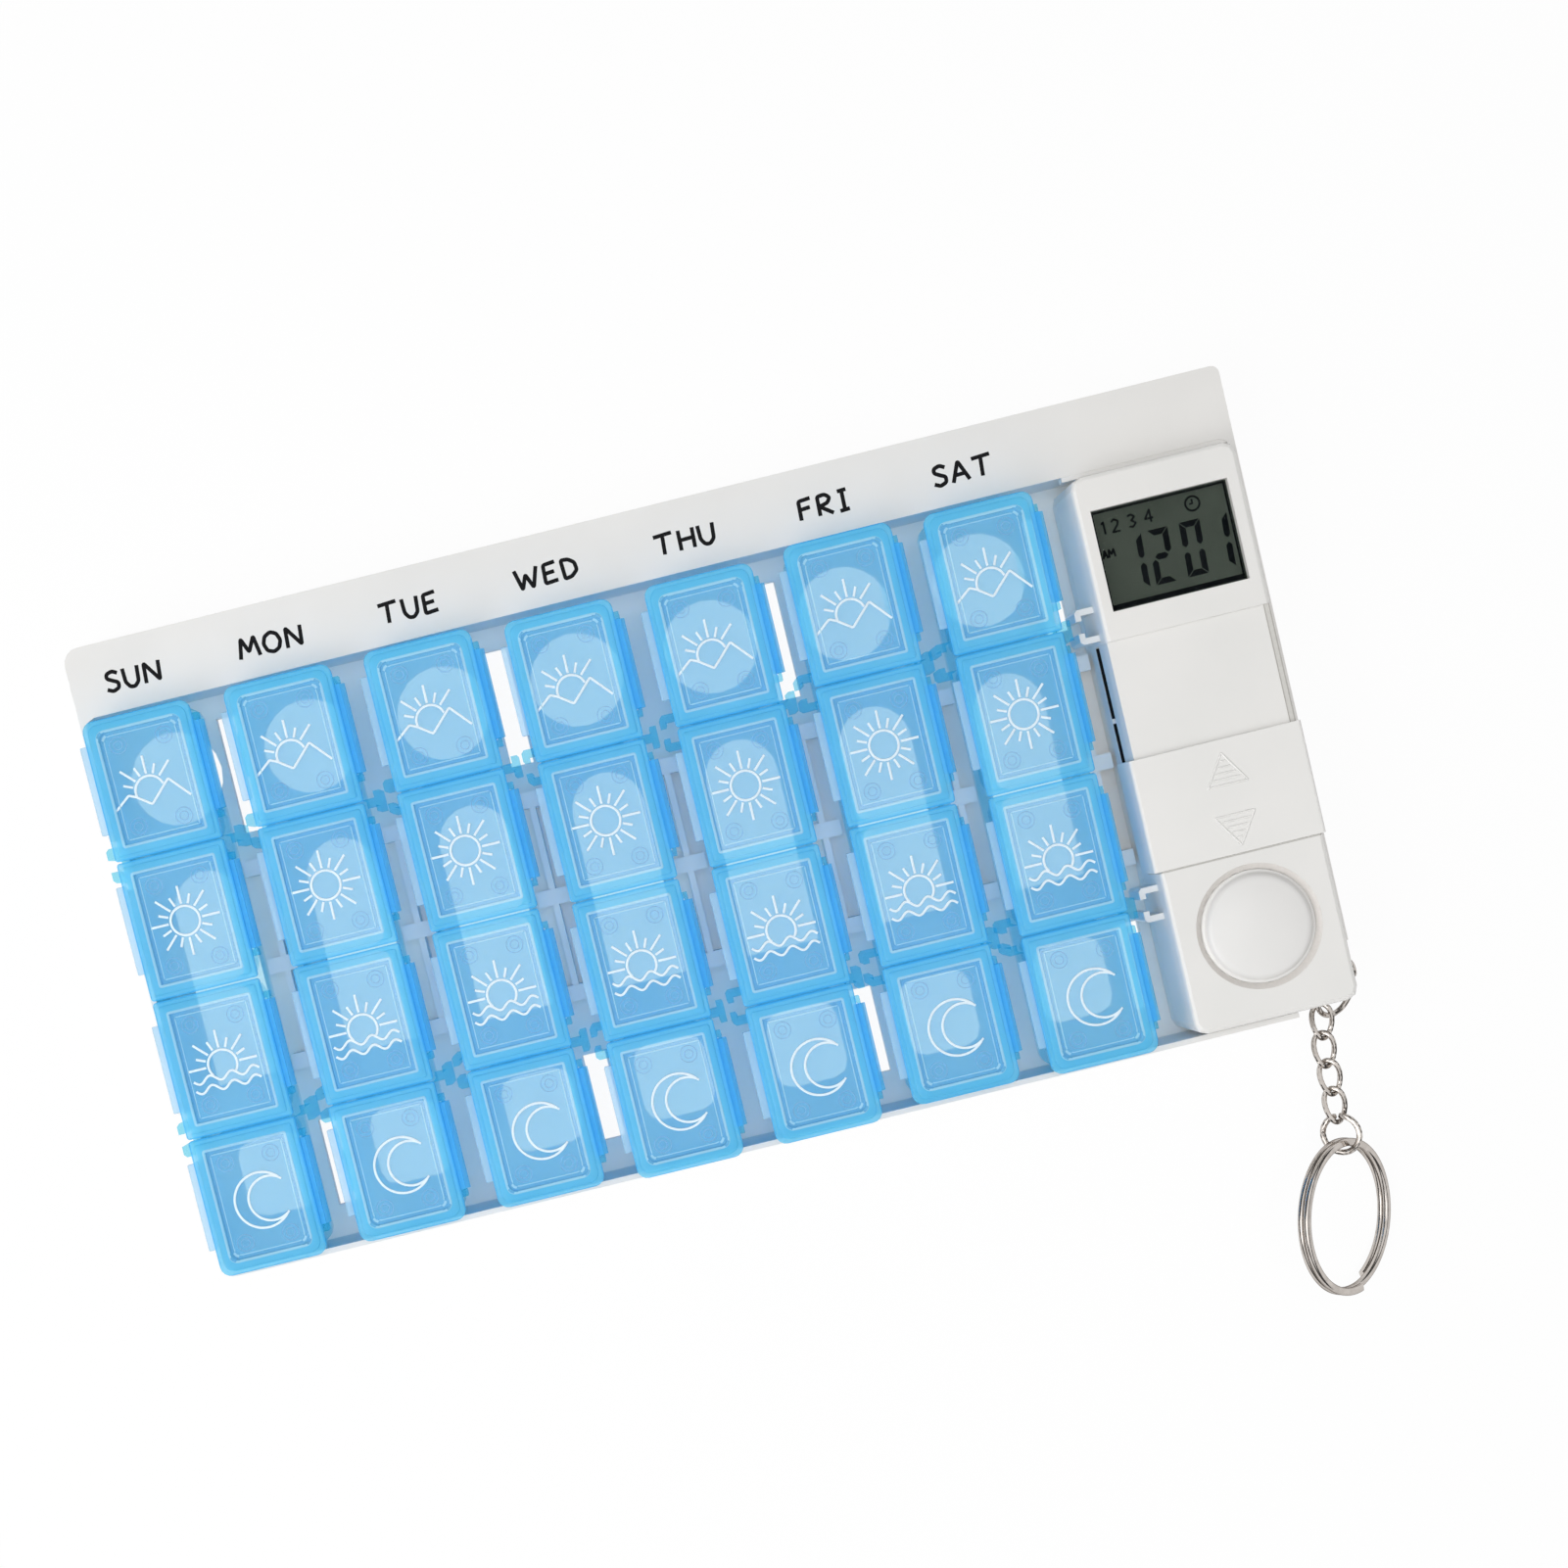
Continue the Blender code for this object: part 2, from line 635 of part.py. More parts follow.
def catches():
    """A short ridge under each lid's tab, on the strip's left wall."""
    outer = -STRIP_WIDTH / 2 - CATCH_REACH
    top = STRIP_HEIGHT - CATCH_DROP
    ridges = []
    for row in range(ROWS):
        middle = (ROWS / 2 - row - 0.5) * ROW_PITCH + TAB_SHIFT
        y = (middle - CATCH_LENGTH / 2, middle + CATCH_LENGTH / 2)
        x = (outer, -STRIP_WIDTH / 2 + ROOT)
        ridges.append(block_mesh("catch", x, y, (top - CATCH_HEIGHT, top)))
    return ridges


def make_strips():
    """Seven like strips, each settled a little differently in the tray."""
    body, cells = strip_shell()
    posts, rods = hinge_posts()
    wall = STRIP_WIDTH / 2 - STRIP_DRAFT
    low, high = CONNECTOR_LOW - SEAT, CONNECTOR_HIGH - SEAT
    joiners = []
    for boundary in (1, ROWS - 1):
        y = (ROWS / 2 - boundary) * ROW_PITCH
        tee = plate_mesh("tee", t_outline(wall), low, high)
        socket = plate_mesh("socket", c_outline(-wall), low, high)
        joiners += [moved(tee, 0, y), moved(socket, 0, y)]
    shell = combine("day_strip", body, cuts=cells)
    mesh = combine("day_strip", shell, [*posts, *rods, *catches(), *joiners])
    for column, day in enumerate(DAYS):
        x = column_x(column) + SLIP_X_SHARES[column] * STRIP_SLIP_X
        y = STRIP_MIDDLE + SLIP_Y_SHARES[column] * STRIP_SLIP_Y
        place("strip_" + day, mesh, "clear_blue", (x, y, SEAT))


def hook_outline():
    """The lid's hinge hook seen along the rod: a tongue from the lid into an open ring."""
    root = -HINGE_OUT - ROOT - ROOT / 2
    tongue_low = HINGE_DROP - ROOT / 4
    tongue_high = HINGE_DROP + ROOT
    outer = arc((0, 0), HOOK_RADIUS, 75, -150, 6)
    inner = arc((0, 0), HOOK_BORE, -150, 120, 5)
    return [(root, tongue_low), (root, tongue_high), (0, tongue_high), *outer, *inner]


def lid_mesh(back_round, front_round):
    """A lid about its hinge axis: plate, sunk panel, plug rim, finger tab and hinge hook."""
    half = ROW_PITCH / 2 - LID_SPACING / 2
    right = -HINGE_OUT
    left = right - LID_WIDTH
    z = (HINGE_DROP, HINGE_DROP + LID_THICKNESS)
    shape = bmesh.new()
    bmesh.ops.create_cube(shape, size=1)
    bmesh.ops.scale(shape, vec=(LID_WIDTH, 2 * half, LID_THICKNESS), verts=shape.verts)
    middle = ((left + right) / 2, 0, (z[0] + z[1]) / 2)
    bmesh.ops.translate(shape, vec=middle, verts=shape.verts)
    upright = [e for e in shape.edges if abs(e.verts[0].co.z - e.verts[1].co.z) > z[1] - z[0] - ROOT]
    corners = [e for e in upright if e.verts[0].co.y > 0 and back_round]
    corners += [e for e in upright if e.verts[0].co.y < 0 and front_round]
    if corners:
        bmesh.ops.bevel(
            shape, geom=corners, offset=LID_CORNER, segments=2, profile=0.5, affect="EDGES"
        )
    plate = mesh_from("lid", shape)
    panel = block_mesh(
        "panel",
        (left + PANEL_INSET, right - PANEL_INSET),
        (-half + PANEL_INSET, half - PANEL_INSET),
        (z[1] - PANEL_DEPTH, z[1] + OVERRUN),
    )
    outer = STRIP_WIDTH / 2 - STRIP_WALL - GAP
    reach = ROW_PITCH / 2 - LID_OVERHANG_END - STRIP_WALL - GAP
    low = HINGE_DROP - GAP - PLUG_DEPTH
    x = -HINGE_X
    plug_z = (low, HINGE_DROP + ROOT)
    plug = block_mesh("plug", (x - outer, x + outer), (-reach, reach), plug_z, CELL_CORNER, 0, 1)
    hollow = block_mesh(
        "hollow",
        (x - outer + PLUG_WALL, x + outer - PLUG_WALL),
        (-reach + PLUG_WALL, reach - PLUG_WALL),
        (low - OVERRUN, HINGE_DROP + ROOT / 2),
    )
    tab_y = (TAB_SHIFT - TAB_LENGTH / 2, TAB_SHIFT + TAB_LENGTH / 2)
    tab_z = (HINGE_DROP - TAB_DROP, HINGE_DROP - TAB_DROP + TAB_THICKNESS)
    tab = block_mesh("tab", (left - TAB_REACH, left + ROOT), tab_y, tab_z)
    hook = plate_mesh("hook", hook_outline(), *tab_y, along="Y")
    return combine("lid", plate, [plug, tab, hook], [hollow, panel])


def make_lids():
    """Twenty-eight lids, each with its origin on its own hinge rod."""
    first = lid_mesh(True, False)
    middle = lid_mesh(False, False)
    last = lid_mesh(False, True)
    for column, day in enumerate(DAYS):
        x = column_x(column) + SLIP_X_SHARES[column] * STRIP_SLIP_X + HINGE_X
        for row, mesh in enumerate((first, middle, middle, last)):
            y = STRIP_MIDDLE + (ROWS / 2 - row - 0.5) * ROW_PITCH
            y += SLIP_Y_SHARES[column] * STRIP_SLIP_Y
            place(f"lid_{day}_{row + 1}", mesh, "clear_blue", (x, y, HINGE_Z))


def display_limits(margin):
    """The display's (low, high) limits in X and in Y, grown by a margin."""
    left = CASE_X[0] + WINDOW_LEFT
    back = CASE_Y[1] - WINDOW_BACK
    x = (left - margin, left + WINDOW_LENGTH + margin)
    return x, (back - WINDOW_DEPTH - margin, back + margin)


def key_places():
    y = SLIDEWAY_Y[0] + COVER_LENGTH / 2
    return [(CASE_MIDDLE + (key - (KEYS - 1) / 2) * KEY_SPACING, y) for key in range(KEYS)]


def corner_ring_pose():
    """The corner ring tips about the line from its middle to the first link."""
    towards = first_link_place() - CORNER_RING_CENTRE
    turn = Matrix.Rotation(radians(CORNER_RING_TILT), 4, towards.normalized())
    return Matrix.Translation(CORNER_RING_CENTRE) @ turn


def button_cutter():
    """The stepped hole of the big button: a cone, a short bore and a wide pocket below."""
    hole = BUTTON_RADIUS + GAP
    pocket = BUTTON_RADIUS + BUTTON_FLANGE + GAP
    cone_low = TIMER_TOP - BUTTON_HOLE_CHAMFER
    low = ROOF_LOW - BUTTON_SHELL - 3 * GAP - BUTTON_TRAVEL
    profile = [
        (0, TIMER_TOP + OVERRUN),
        (hole + BUTTON_HOLE_CHAMFER + OVERRUN, TIMER_TOP + OVERRUN),
        (hole, cone_low),
        (hole, ROOF_LOW),
        (pocket, ROOF_LOW),
        (pocket, low),
        (0, low),
    ]
    return moved(turned_mesh("button_hole", profile, BUTTON_STEPS), BUTTON_X, BUTTON_Y)


def make_timer_case():
    """The upper shell: display opening, sunk slideway, button hole, grooves and C sockets."""
    body = block_mesh(
        "timer_case", CASE_X, CASE_Y, (CASE_LOW, TIMER_TOP), TIMER_CORNER, TIMER_EDGE
    )
    sockets = []
    for boundary in (1, ROWS - 1):
        socket = plate_mesh("socket", c_outline(CASE_X[0]), CONNECTOR_LOW, CONNECTOR_HIGH)
        sockets.append(moved(socket, 0, row_y(boundary)))
    x = (CASE_X[0] + CASE_WALL, CASE_X[1] - CASE_WALL)
    y = (CASE_Y[0] + CASE_WALL, CASE_Y[1] - CASE_WALL)
    step = (CASE_X[1] - CORNER_SOLID, CASE_Y[0] + CORNER_SOLID)
    inside = [(x[0], y[0]), (step[0], y[0]), step, (x[1], step[1]), (x[1], y[1]), (x[0], y[1])]
    outer_x = (CASE_X[0] - OVERRUN, CASE_X[1] + OVERRUN)
    cuts = [
        plate_mesh("inside", inside, CASE_LOW - OVERRUN, SLIDEWAY_LOW),
        block_mesh("slideway", outer_x, SLIDEWAY_Y, (SLIDEWAY_TOP, TIMER_TOP + OVERRUN)),
        block_mesh("display_bay", *display_limits(PANEL_MARGIN + GAP), (SLIDEWAY_LOW - ROOT, ROOF_LOW)),
        block_mesh("display_hole", *display_limits(0), (ROOF_LOW - ROOT, TIMER_TOP + OVERRUN)),
        button_cutter(),
    ]
    for side, wall in ((-1, CASE_X[0]), (1, CASE_X[1])):
        groove_x = sorted((wall + side * OVERRUN, wall - side * GROOVE_DEPTH))
        groove_z = (GROOVE_LOW, GROOVE_LOW + GROOVE_HEIGHT)
        cuts.append(block_mesh("groove", groove_x, SLIDEWAY_Y, groove_z))
        step_x = sorted((wall + side * OVERRUN, wall - side * SIDE_STEP))
        cuts.append(block_mesh("side_step", step_x, SLIDEWAY_Y, (GROOVE_LOW, TIMER_TOP + OVERRUN)))
    for x, y in key_places():
        hole = rod_mesh("key_hole", KEY_RADIUS + GAP, SLIDEWAY_LOW - ROOT, TIMER_TOP, KEY_STEPS)
        cuts.append(moved(hole, x, y))
    bpy.ops.mesh.primitive_torus_add(
        major_radius=CORNER_RING_RADIUS,
        minor_radius=CORNER_RING_WIRE / 2 + TUNNEL_CLEARANCE,
        major_segments=28,
        minor_segments=8,
    )
    torus = bpy.context.object
    tunnel = torus.data.copy()
    bpy.data.objects.remove(torus)
    tunnel.transform(corner_ring_pose())
    cuts.append(tunnel)
    place("timer_case", combine("timer_case", body, sockets, cuts), "warm_white_abs")


def make_timer_back():
    """The lower shell, with posts for the board and a round hole for the battery door."""
    body = block_mesh("timer_back", CASE_X, CASE_Y, (SEAT, TIMER_SPLIT), TIMER_CORNER)
    x = (CASE_X[0] + CASE_WALL, CASE_X[1] - CASE_WALL)
    y = (CASE_Y[0] + CASE_WALL, CASE_Y[1] - CASE_WALL)
    inside = block_mesh("inside", x, y, (SEAT + BACK_FLOOR, TIMER_SPLIT + OVERRUN))
    door = rod_mesh("door_hole", CELL_RADIUS + DOOR_MARGIN + GAP, SEAT - OVERRUN, TIMER_SPLIT, 32)
    door.transform(Matrix.Translation((CASE_MIDDLE, CASE_Y[1] - CELL_DOWN, 0)))
    posts = []
    for share in BOARD_POST_SHARES:
        for side in (-1, 1):
            post = rod_mesh("post", BOARD_POST_RADIUS, SEAT + ROOT, BOARD_LOW - GAP, 10)
            post_x = CASE_MIDDLE + side * (TIMER_WIDTH / 2 - BOARD_POST_SIDE)
            posts.append(moved(post, post_x, CASE_Y[1] - share * TIMER_DEPTH))
    shell = combine("timer_back", body, cuts=[inside, door])
    place("timer_back", combine("timer_back", shell, posts), "warm_white_abs")


def make_slide_cover():
    """A saddle over the housing, its in-turned lips running in the side grooves."""
    left, right = CASE_X[0] - COVER_LEFT_OVERHANG, CASE_X[1] + COVER_RIGHT_OVERHANG
    under = SLIDEWAY_TOP + GAP
    top = under + COVER_TOP
    low = GROOVE_LOW + GAP
    lip = low + COVER_LIP_HEIGHT
    in_left, in_right = CASE_X[0] + SIDE_STEP - GAP, CASE_X[1] - SIDE_STEP + GAP
    lip_left = CASE_X[0] + GROOVE_DEPTH - GAP
    lip_right = CASE_X[1] - GROOVE_DEPTH + GAP
    corner_right = arc((right - COVER_EDGE, top - COVER_EDGE), COVER_EDGE, 0, 90, 3)
    corner_left = arc((left + COVER_EDGE, top - COVER_EDGE), COVER_EDGE, 90, 180, 3)
    outline = [(lip_right, low), (right, low), *corner_right, *corner_left, (left, low)]
    outline += [(lip_left, low), (lip_left, lip), (in_left, lip), (in_left, under)]
    outline += [(in_right, under), (in_right, lip), (lip_right, lip)]
    y = (SLIDEWAY_Y[0] + GAP, SLIDEWAY_Y[0] + COVER_LENGTH - GAP)
    mesh = smooth(plate_mesh("slide_cover", outline, *y, along="Y"))
    place("slide_cover", mesh, "warm_white_abs")


def make_display():
    """Lens in the window, the display glass below it and the frame that holds it off the board."""
    lens = block_mesh("lcd_lens", *display_limits(-GAP), (ROOF_LOW, ROOF_LOW + LENS_THICKNESS))
    place("lcd_lens", lens, "clear_lens")
    high = ROOF_LOW - GAP
    low = high - PANEL_THICKNESS
    place(
        "lcd_panel",
        block_mesh("lcd_panel", *display_limits(PANEL_MARGIN), (low, high)),
        "display_glass",
    )
    frame = block_mesh("lcd_frame", *display_limits(PANEL_MARGIN), (BOARD_HIGH + GAP, low - GAP))
    hollow_z = (BOARD_HIGH - OVERRUN, low + OVERRUN)
    hollow = block_mesh("hollow", *display_limits(PANEL_MARGIN - FRAME_WALL), hollow_z)
    place("lcd_frame", combine("lcd_frame", frame, cuts=[hollow]), "dark_plastic")


def make_button():
    """The domed alarm button: a turned cap with a steep rim, a flange below the roof and a stem."""
    shoulder = TIMER_TOP - BUTTON_SHOULDER
    crown = shoulder + BUTTON_RISE
    dome_radius = BUTTON_RADIUS - BUTTON_BAND
    dome_rise = BUTTON_RISE - BUTTON_BAND_RISE
    bulge = (dome_radius**2 + dome_rise**2) / (2 * dome_rise)
    dome = []
    for step in range(DOME_POINTS + 1):
        radius = dome_radius * step / DOME_POINTS
        dome.append((radius, crown - bulge + (bulge**2 - radius**2) ** 0.5))
    flange_top = ROOF_LOW - GAP
    flange_low = flange_top - BUTTON_SHELL
    inner = BUTTON_RADIUS - BUTTON_SHELL
    stem_low = flange_low - BUTTON_STEM_LENGTH
    profile = [
        *dome,
        (BUTTON_RADIUS, shoulder),
        (BUTTON_RADIUS, flange_top),
        (BUTTON_RADIUS + BUTTON_FLANGE, flange_top),
        (BUTTON_RADIUS + BUTTON_FLANGE, flange_low),
        (inner, flange_low),
        (inner, shoulder - BUTTON_SHELL),
        (BUTTON_STEM, shoulder - BUTTON_SHELL / 2),
        (BUTTON_STEM, stem_low),
        (0, stem_low),
    ]
    mesh = turned_mesh("dome_button", profile, BUTTON_STEPS)
    place("dome_button", mesh, "pearl_white", (BUTTON_X, BUTTON_Y, 0))
    half = SWITCH_SIZE / 2
    low = BOARD_HIGH + GAP
    base = block_mesh("button_switch", (-half, half), (-half, half), (low, low + SWITCH_HEIGHT))
    plunger_top = stem_low - BUTTON_TRAVEL - GAP
    plunger = rod_mesh("plunger", PLUNGER_RADIUS, low + ROOT, plunger_top, 12)
    switch = combine("button_switch", base, [plunger])
    place("button_switch", switch, "dark_plastic", (BUTTON_X, BUTTON_Y, 0))


def make_keys():
    """Three small setting keys, flush in the slideway and hidden by the closed cover."""
    flange_top = SLIDEWAY_LOW - GAP
    wide = KEY_RADIUS + KEY_FLANGE
    profile = [
        (0, SLIDEWAY_TOP),
        (KEY_RADIUS, SLIDEWAY_TOP),
        (KEY_RADIUS, flange_top),
        (wide, flange_top),
        (wide, flange_top - KEY_FLANGE_THICKNESS),
        (0, flange_top - KEY_FLANGE_THICKNESS),
    ]
    mesh = turned_mesh("set_key", profile, KEY_STEPS)
    for number, (x, y) in enumerate(key_places()):
        place(f"set_key_{number + 1}", mesh, "dark_plastic", (x, y, 0))


def make_electronics():
    """Board, buzzer, coin cell with its two contacts, and the round battery door."""
    edge = CASE_WALL + GAP
    x = (CASE_X[0] + edge, CASE_X[1] - edge)
    y = (CASE_Y[0] + BOARD_FRONT, CASE_Y[1] - edge)
    place("circuit_board", block_mesh("circuit_board", x, y, (BOARD_LOW, BOARD_HIGH)), "board_green")
    low = BOARD_HIGH + GAP
    buzzer = smooth(rod_mesh("buzzer", BUZZER_RADIUS, low, low + BUZZER_HEIGHT, 24))
    place("buzzer", buzzer, "dark_plastic", (CASE_MIDDLE, BUTTON_Y + BUZZER_BEHIND, 0))
    middle = (CASE_MIDDLE, CASE_Y[1] - CELL_DOWN, 0)
    cell_low = SEAT + DOOR_THICKNESS + GAP
    cell_high = cell_low + CELL_THICKNESS
    cell = smooth(rod_mesh("coin_cell", CELL_RADIUS, cell_low, cell_high, 32))
    place("coin_cell", cell, "bright_steel", middle)
    contact_low = cell_high + GAP
    contact_high = contact_low + CONTACT_THICKNESS
    width = (-CONTACT_WIDTH / 2, CONTACT_WIDTH / 2)
    flat = (contact_low, contact_high)
    minus = block_mesh("contact_minus", width, (-CONTACT_LENGTH, CONTACT_LENGTH / 2), flat)
    place("contact_minus", minus, "bright_steel", middle)
    inner = CELL_RADIUS + GAP
    outer = inner + CONTACT_THICKNESS
    upright = block_mesh("upright", width, (inner, outer), (cell_low, contact_high))
    foot = block_mesh("foot", width, (inner, inner + CONTACT_FOOT), flat)
    place("contact_plus", combine("contact_plus", upright, [foot]), "bright_steel", middle)
    door = rod_mesh("battery_door", CELL_RADIUS + DOOR_MARGIN, SEAT, SEAT + DOOR_THICKNESS, 32)
    slot = block_mesh(
        "coin_slot",
        (-DOOR_SLOT_LENGTH / 2, DOOR_SLOT_LENGTH / 2),
        (-DOOR_SLOT_WIDTH / 2, DOOR_SLOT_WIDTH / 2),
        (SEAT - OVERRUN, SEAT + DOOR_SLOT_DEPTH),
    )
    place("battery_door", combine("battery_door", door, cuts=[slot]), "warm_white_abs", middle)


def wire_mesh(name, points, diameter, closed, resolution=1):
    """A round wire through these points, closed on itself or with flat ends."""
    curve = bpy.data.curves.new(name, "CURVE")
    curve.dimensions = "3D"
    curve.bevel_depth = diameter / 2
    curve.bevel_resolution = resolution
    curve.use_fill_caps = not closed
    spline = curve.splines.new("POLY")
    spline.points.add(len(points) - 1)
    for spot, place_at in zip(spline.points, points):
        spot.co = (*place_at, 1)
    spline.use_cyclic_u = closed
    return smooth(evaluated_mesh(place(name, curve, collection=CUTTERS), name))


def first_link_place():
    return Vector((CORNER_X - FIRST_LINK_SIDE, CORNER_Y - FIRST_LINK_BACK, CHAIN_HEIGHT))


def link_places():
    """Middle and heading of each chain link; a link lies halfway between the steps it joins."""
    spot = first_link_place()
    places = []
    before = LINK_HEADINGS[0]
    for heading in LINK_HEADINGS:
        places.append((spot.copy(), (before + heading) / 2))
        step = Vector((cos(radians(heading)), sin(radians(heading)), 0))
        spot = spot + step * LINK_PITCH
        before = heading
    return places


def make_chain():
    """Corner ring, four twisted curb links, jump ring and the double-coil split ring."""
    turns = [2 * pi * point / LINK_POINTS for point in range(LINK_POINTS)]
    oval = [
        (LINK_HALF_LENGTH * cos(t), LINK_HALF_WIDTH * sin(t), LINK_TWIST * sin(2 * t)) for t in turns
    ]
    link = wire_mesh("chain_link", oval, LINK_WIRE, True)
    places = link_places()
    for number, (spot, heading) in enumerate(places):
        obj = place(f"chain_link_{number + 1}", link, "bright_steel", spot)
        obj.rotation_euler.z = radians(heading)
    sweep = 2 * pi * (1 - RING_SPLIT_SHARE)
    turns = [sweep * (point / RING_STEPS - 0.5) for point in range(RING_STEPS + 1)]
    big = [(CORNER_RING_RADIUS * cos(t), CORNER_RING_RADIUS * sin(t), 0) for t in turns]
    ring = wire_mesh("corner_ring", big, CORNER_RING_WIRE, False)
    obj = place("corner_ring", ring, "bright_steel")
    obj.matrix_world = corner_ring_pose() @ Matrix.Rotation(pi, 4, "Z")
    small = [(JUMP_RING_RADIUS * cos(t), JUMP_RING_RADIUS * sin(t), 0) for t in turns]
    jump = wire_mesh("jump_ring", small, JUMP_RING_WIRE, False)
    heading = radians(LINK_HEADINGS[-1])
    step = Vector((cos(heading), sin(heading), 0))
    reach = LINK_HALF_LENGTH + JUMP_RING_RADIUS - (LINK_WIRE + JUMP_RING_WIRE) / 2 - GAP
    jump_at = places[-1][0] + step * reach
    obj = place("jump_ring", jump, "bright_steel", jump_at)
    obj.rotation_euler = (radians(JUMP_RING_ROLL), 0, heading)
    make_split_ring(jump_at)


def make_split_ring(jump_at):
    """Two flat turns that lie on each other and cross over in one short stretch."""
    rise = SPLIT_RING_THICKNESS + GAP
    points = []
    for point in range(SPLIT_RING_POINTS + 1):
        turn = SPLIT_RING_TURNS * point / SPLIT_RING_POINTS
        angle = 2 * pi * turn
        height = rise * (turn - SPLIT_RING_TURNS / 2)
        points.append((SPLIT_RING_RADIUS * cos(angle), SPLIT_RING_RADIUS * sin(angle), height))
    band = bpy.data.curves.new("band_profile", "CURVE")
    band.dimensions = "2D"
    edge = band.splines.new("POLY")
    edge.points.add(3)
    wide, thick = SPLIT_RING_BAND / 2, SPLIT_RING_THICKNESS / 2
    corners = ((wide, thick), (-wide, thick), (-wide, -thick), (wide, -thick))
    for spot, corner in zip(edge.points, corners):
        spot.co = (*corner, 0, 1)
    edge.use_cyclic_u = True
    profile = place("band_profile", band, collection=CUTTERS)
    curve = bpy.data.curves.new("split_ring", "CURVE")
    curve.dimensions = "3D"
    curve.twist_mode = "Z_UP"
    curve.bevel_mode = "OBJECT"
    curve.bevel_object = profile
    curve.use_fill_caps = True
    spline = curve.splines.new("POLY")
    spline.points.add(len(points) - 1)
    for spot, place_at in zip(spline.points, points):
        spot.co = (*place_at, 1)
    mesh = evaluated_mesh(place("split_ring", curve, collection=CUTTERS), "split_ring")
    bpy.data.objects.remove(profile)
    heading = radians(SPLIT_RING_HEADING)
    along = Vector((cos(heading), sin(heading), 0))
    hold = JUMP_RING_RADIUS - JUMP_RING_WIRE - SPLIT_RING_BAND / 2 - GAP
    chain = Vector((cos(radians(LINK_HEADINGS[-1])), sin(radians(LINK_HEADINGS[-1])), 0))
    middle = jump_at + chain * hold - along * SPLIT_RING_RADIUS
    middle.z = SPLIT_RING_HEIGHT
    obj = place("split_ring", smooth(mesh), "bright_steel", middle)
    lean = Matrix.Rotation(radians(SPLIT_RING_TILT), 4, along)
    obj.matrix_world = Matrix.Translation(middle) @ lean @ Matrix.Rotation(heading, 4, "Z")


make_tray()
make_strips()
make_lids()
make_timer_case()
make_timer_back()
make_slide_cover()
make_display()
make_button()
make_keys()
make_electronics()
make_chain()
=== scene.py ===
import json
from math import cos, pi, radians, sin

import bmesh
import bpy
from mathutils import Matrix, Vector


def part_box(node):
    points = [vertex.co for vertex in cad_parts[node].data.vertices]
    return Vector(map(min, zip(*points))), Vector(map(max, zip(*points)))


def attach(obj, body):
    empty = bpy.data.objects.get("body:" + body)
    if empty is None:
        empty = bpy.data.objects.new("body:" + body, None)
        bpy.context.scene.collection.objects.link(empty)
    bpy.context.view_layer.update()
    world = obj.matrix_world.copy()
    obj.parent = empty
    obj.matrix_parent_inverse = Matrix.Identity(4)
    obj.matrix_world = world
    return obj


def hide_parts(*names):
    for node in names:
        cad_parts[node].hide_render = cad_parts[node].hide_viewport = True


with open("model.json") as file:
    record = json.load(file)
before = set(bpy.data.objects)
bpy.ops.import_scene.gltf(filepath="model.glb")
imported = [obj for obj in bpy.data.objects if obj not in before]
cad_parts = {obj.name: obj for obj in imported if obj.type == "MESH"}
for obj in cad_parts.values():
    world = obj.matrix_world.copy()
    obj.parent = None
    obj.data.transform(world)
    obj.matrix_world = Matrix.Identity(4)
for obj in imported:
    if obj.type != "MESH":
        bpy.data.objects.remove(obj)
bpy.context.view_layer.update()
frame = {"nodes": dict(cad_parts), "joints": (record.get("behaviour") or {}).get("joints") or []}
print("pill box: frame loaded with", len(frame["nodes"]), "nodes")

mm = 0.001
weldReach = 0.002 * mm
dayNames = ("sun", "mon", "tue", "wed", "thu", "fri", "sat")
rowCount = 4
nodes = frame["nodes"]
hinges = {joint["name"]: joint for joint in frame["joints"]}

# camera, placed where the photograph was taken from
cameraSettings = {
    "place": (-0.01579, -0.00420, 0.47333),
    "turn": (-3.5325, 0.1734, -13.7900),  # degrees
    "lens": 56.21,
    "film": 36,
    "shift": (0.0985, 0.1510),
    "near": 0.01,
}


def addCamera(settings):
    camera = bpy.data.cameras.new("photoCamera")
    camera.lens = settings["lens"]
    camera.sensor_width = settings["film"]
    camera.shift_x, camera.shift_y = settings["shift"]
    camera.clip_start = settings["near"]
    holder = bpy.data.objects.new("photoCamera", camera)
    holder.location = settings["place"]
    holder.rotation_euler = [radians(angle) for angle in settings["turn"]]
    bpy.context.scene.collection.objects.link(holder)
    bpy.context.scene.camera = holder


addCamera(cameraSettings)
bpy.context.scene.view_settings.view_transform = "Standard"
# many clear walls lie one behind the other, so light needs many steps
bpy.context.scene.cycles.transparent_max_bounces = 40
bpy.context.scene.cycles.max_bounces = 24
bpy.context.scene.cycles.diffuse_bounces = 16
print("pill box: camera placed")


# materials

def newMaterial(name):
    material = bpy.data.materials.new(name)
    material.use_nodes = True
    tree = material.node_tree
    return material, tree, tree.nodes["Principled BSDF"]


def addNode(tree, kind, **values):
    node = tree.nodes.new(kind)
    for key, value in values.items():
        if key in node.inputs:
            node.inputs[key].default_value = value
        else:
            setattr(node, key, value)
    return node


def mottle(tree, scale, detail=3):
    where = addNode(tree, "ShaderNodeTexCoord")
    noise = addNode(tree, "ShaderNodeTexNoise", Scale=scale, Detail=detail)
    tree.links.new(where.outputs["Object"], noise.inputs["Vector"])
    return noise


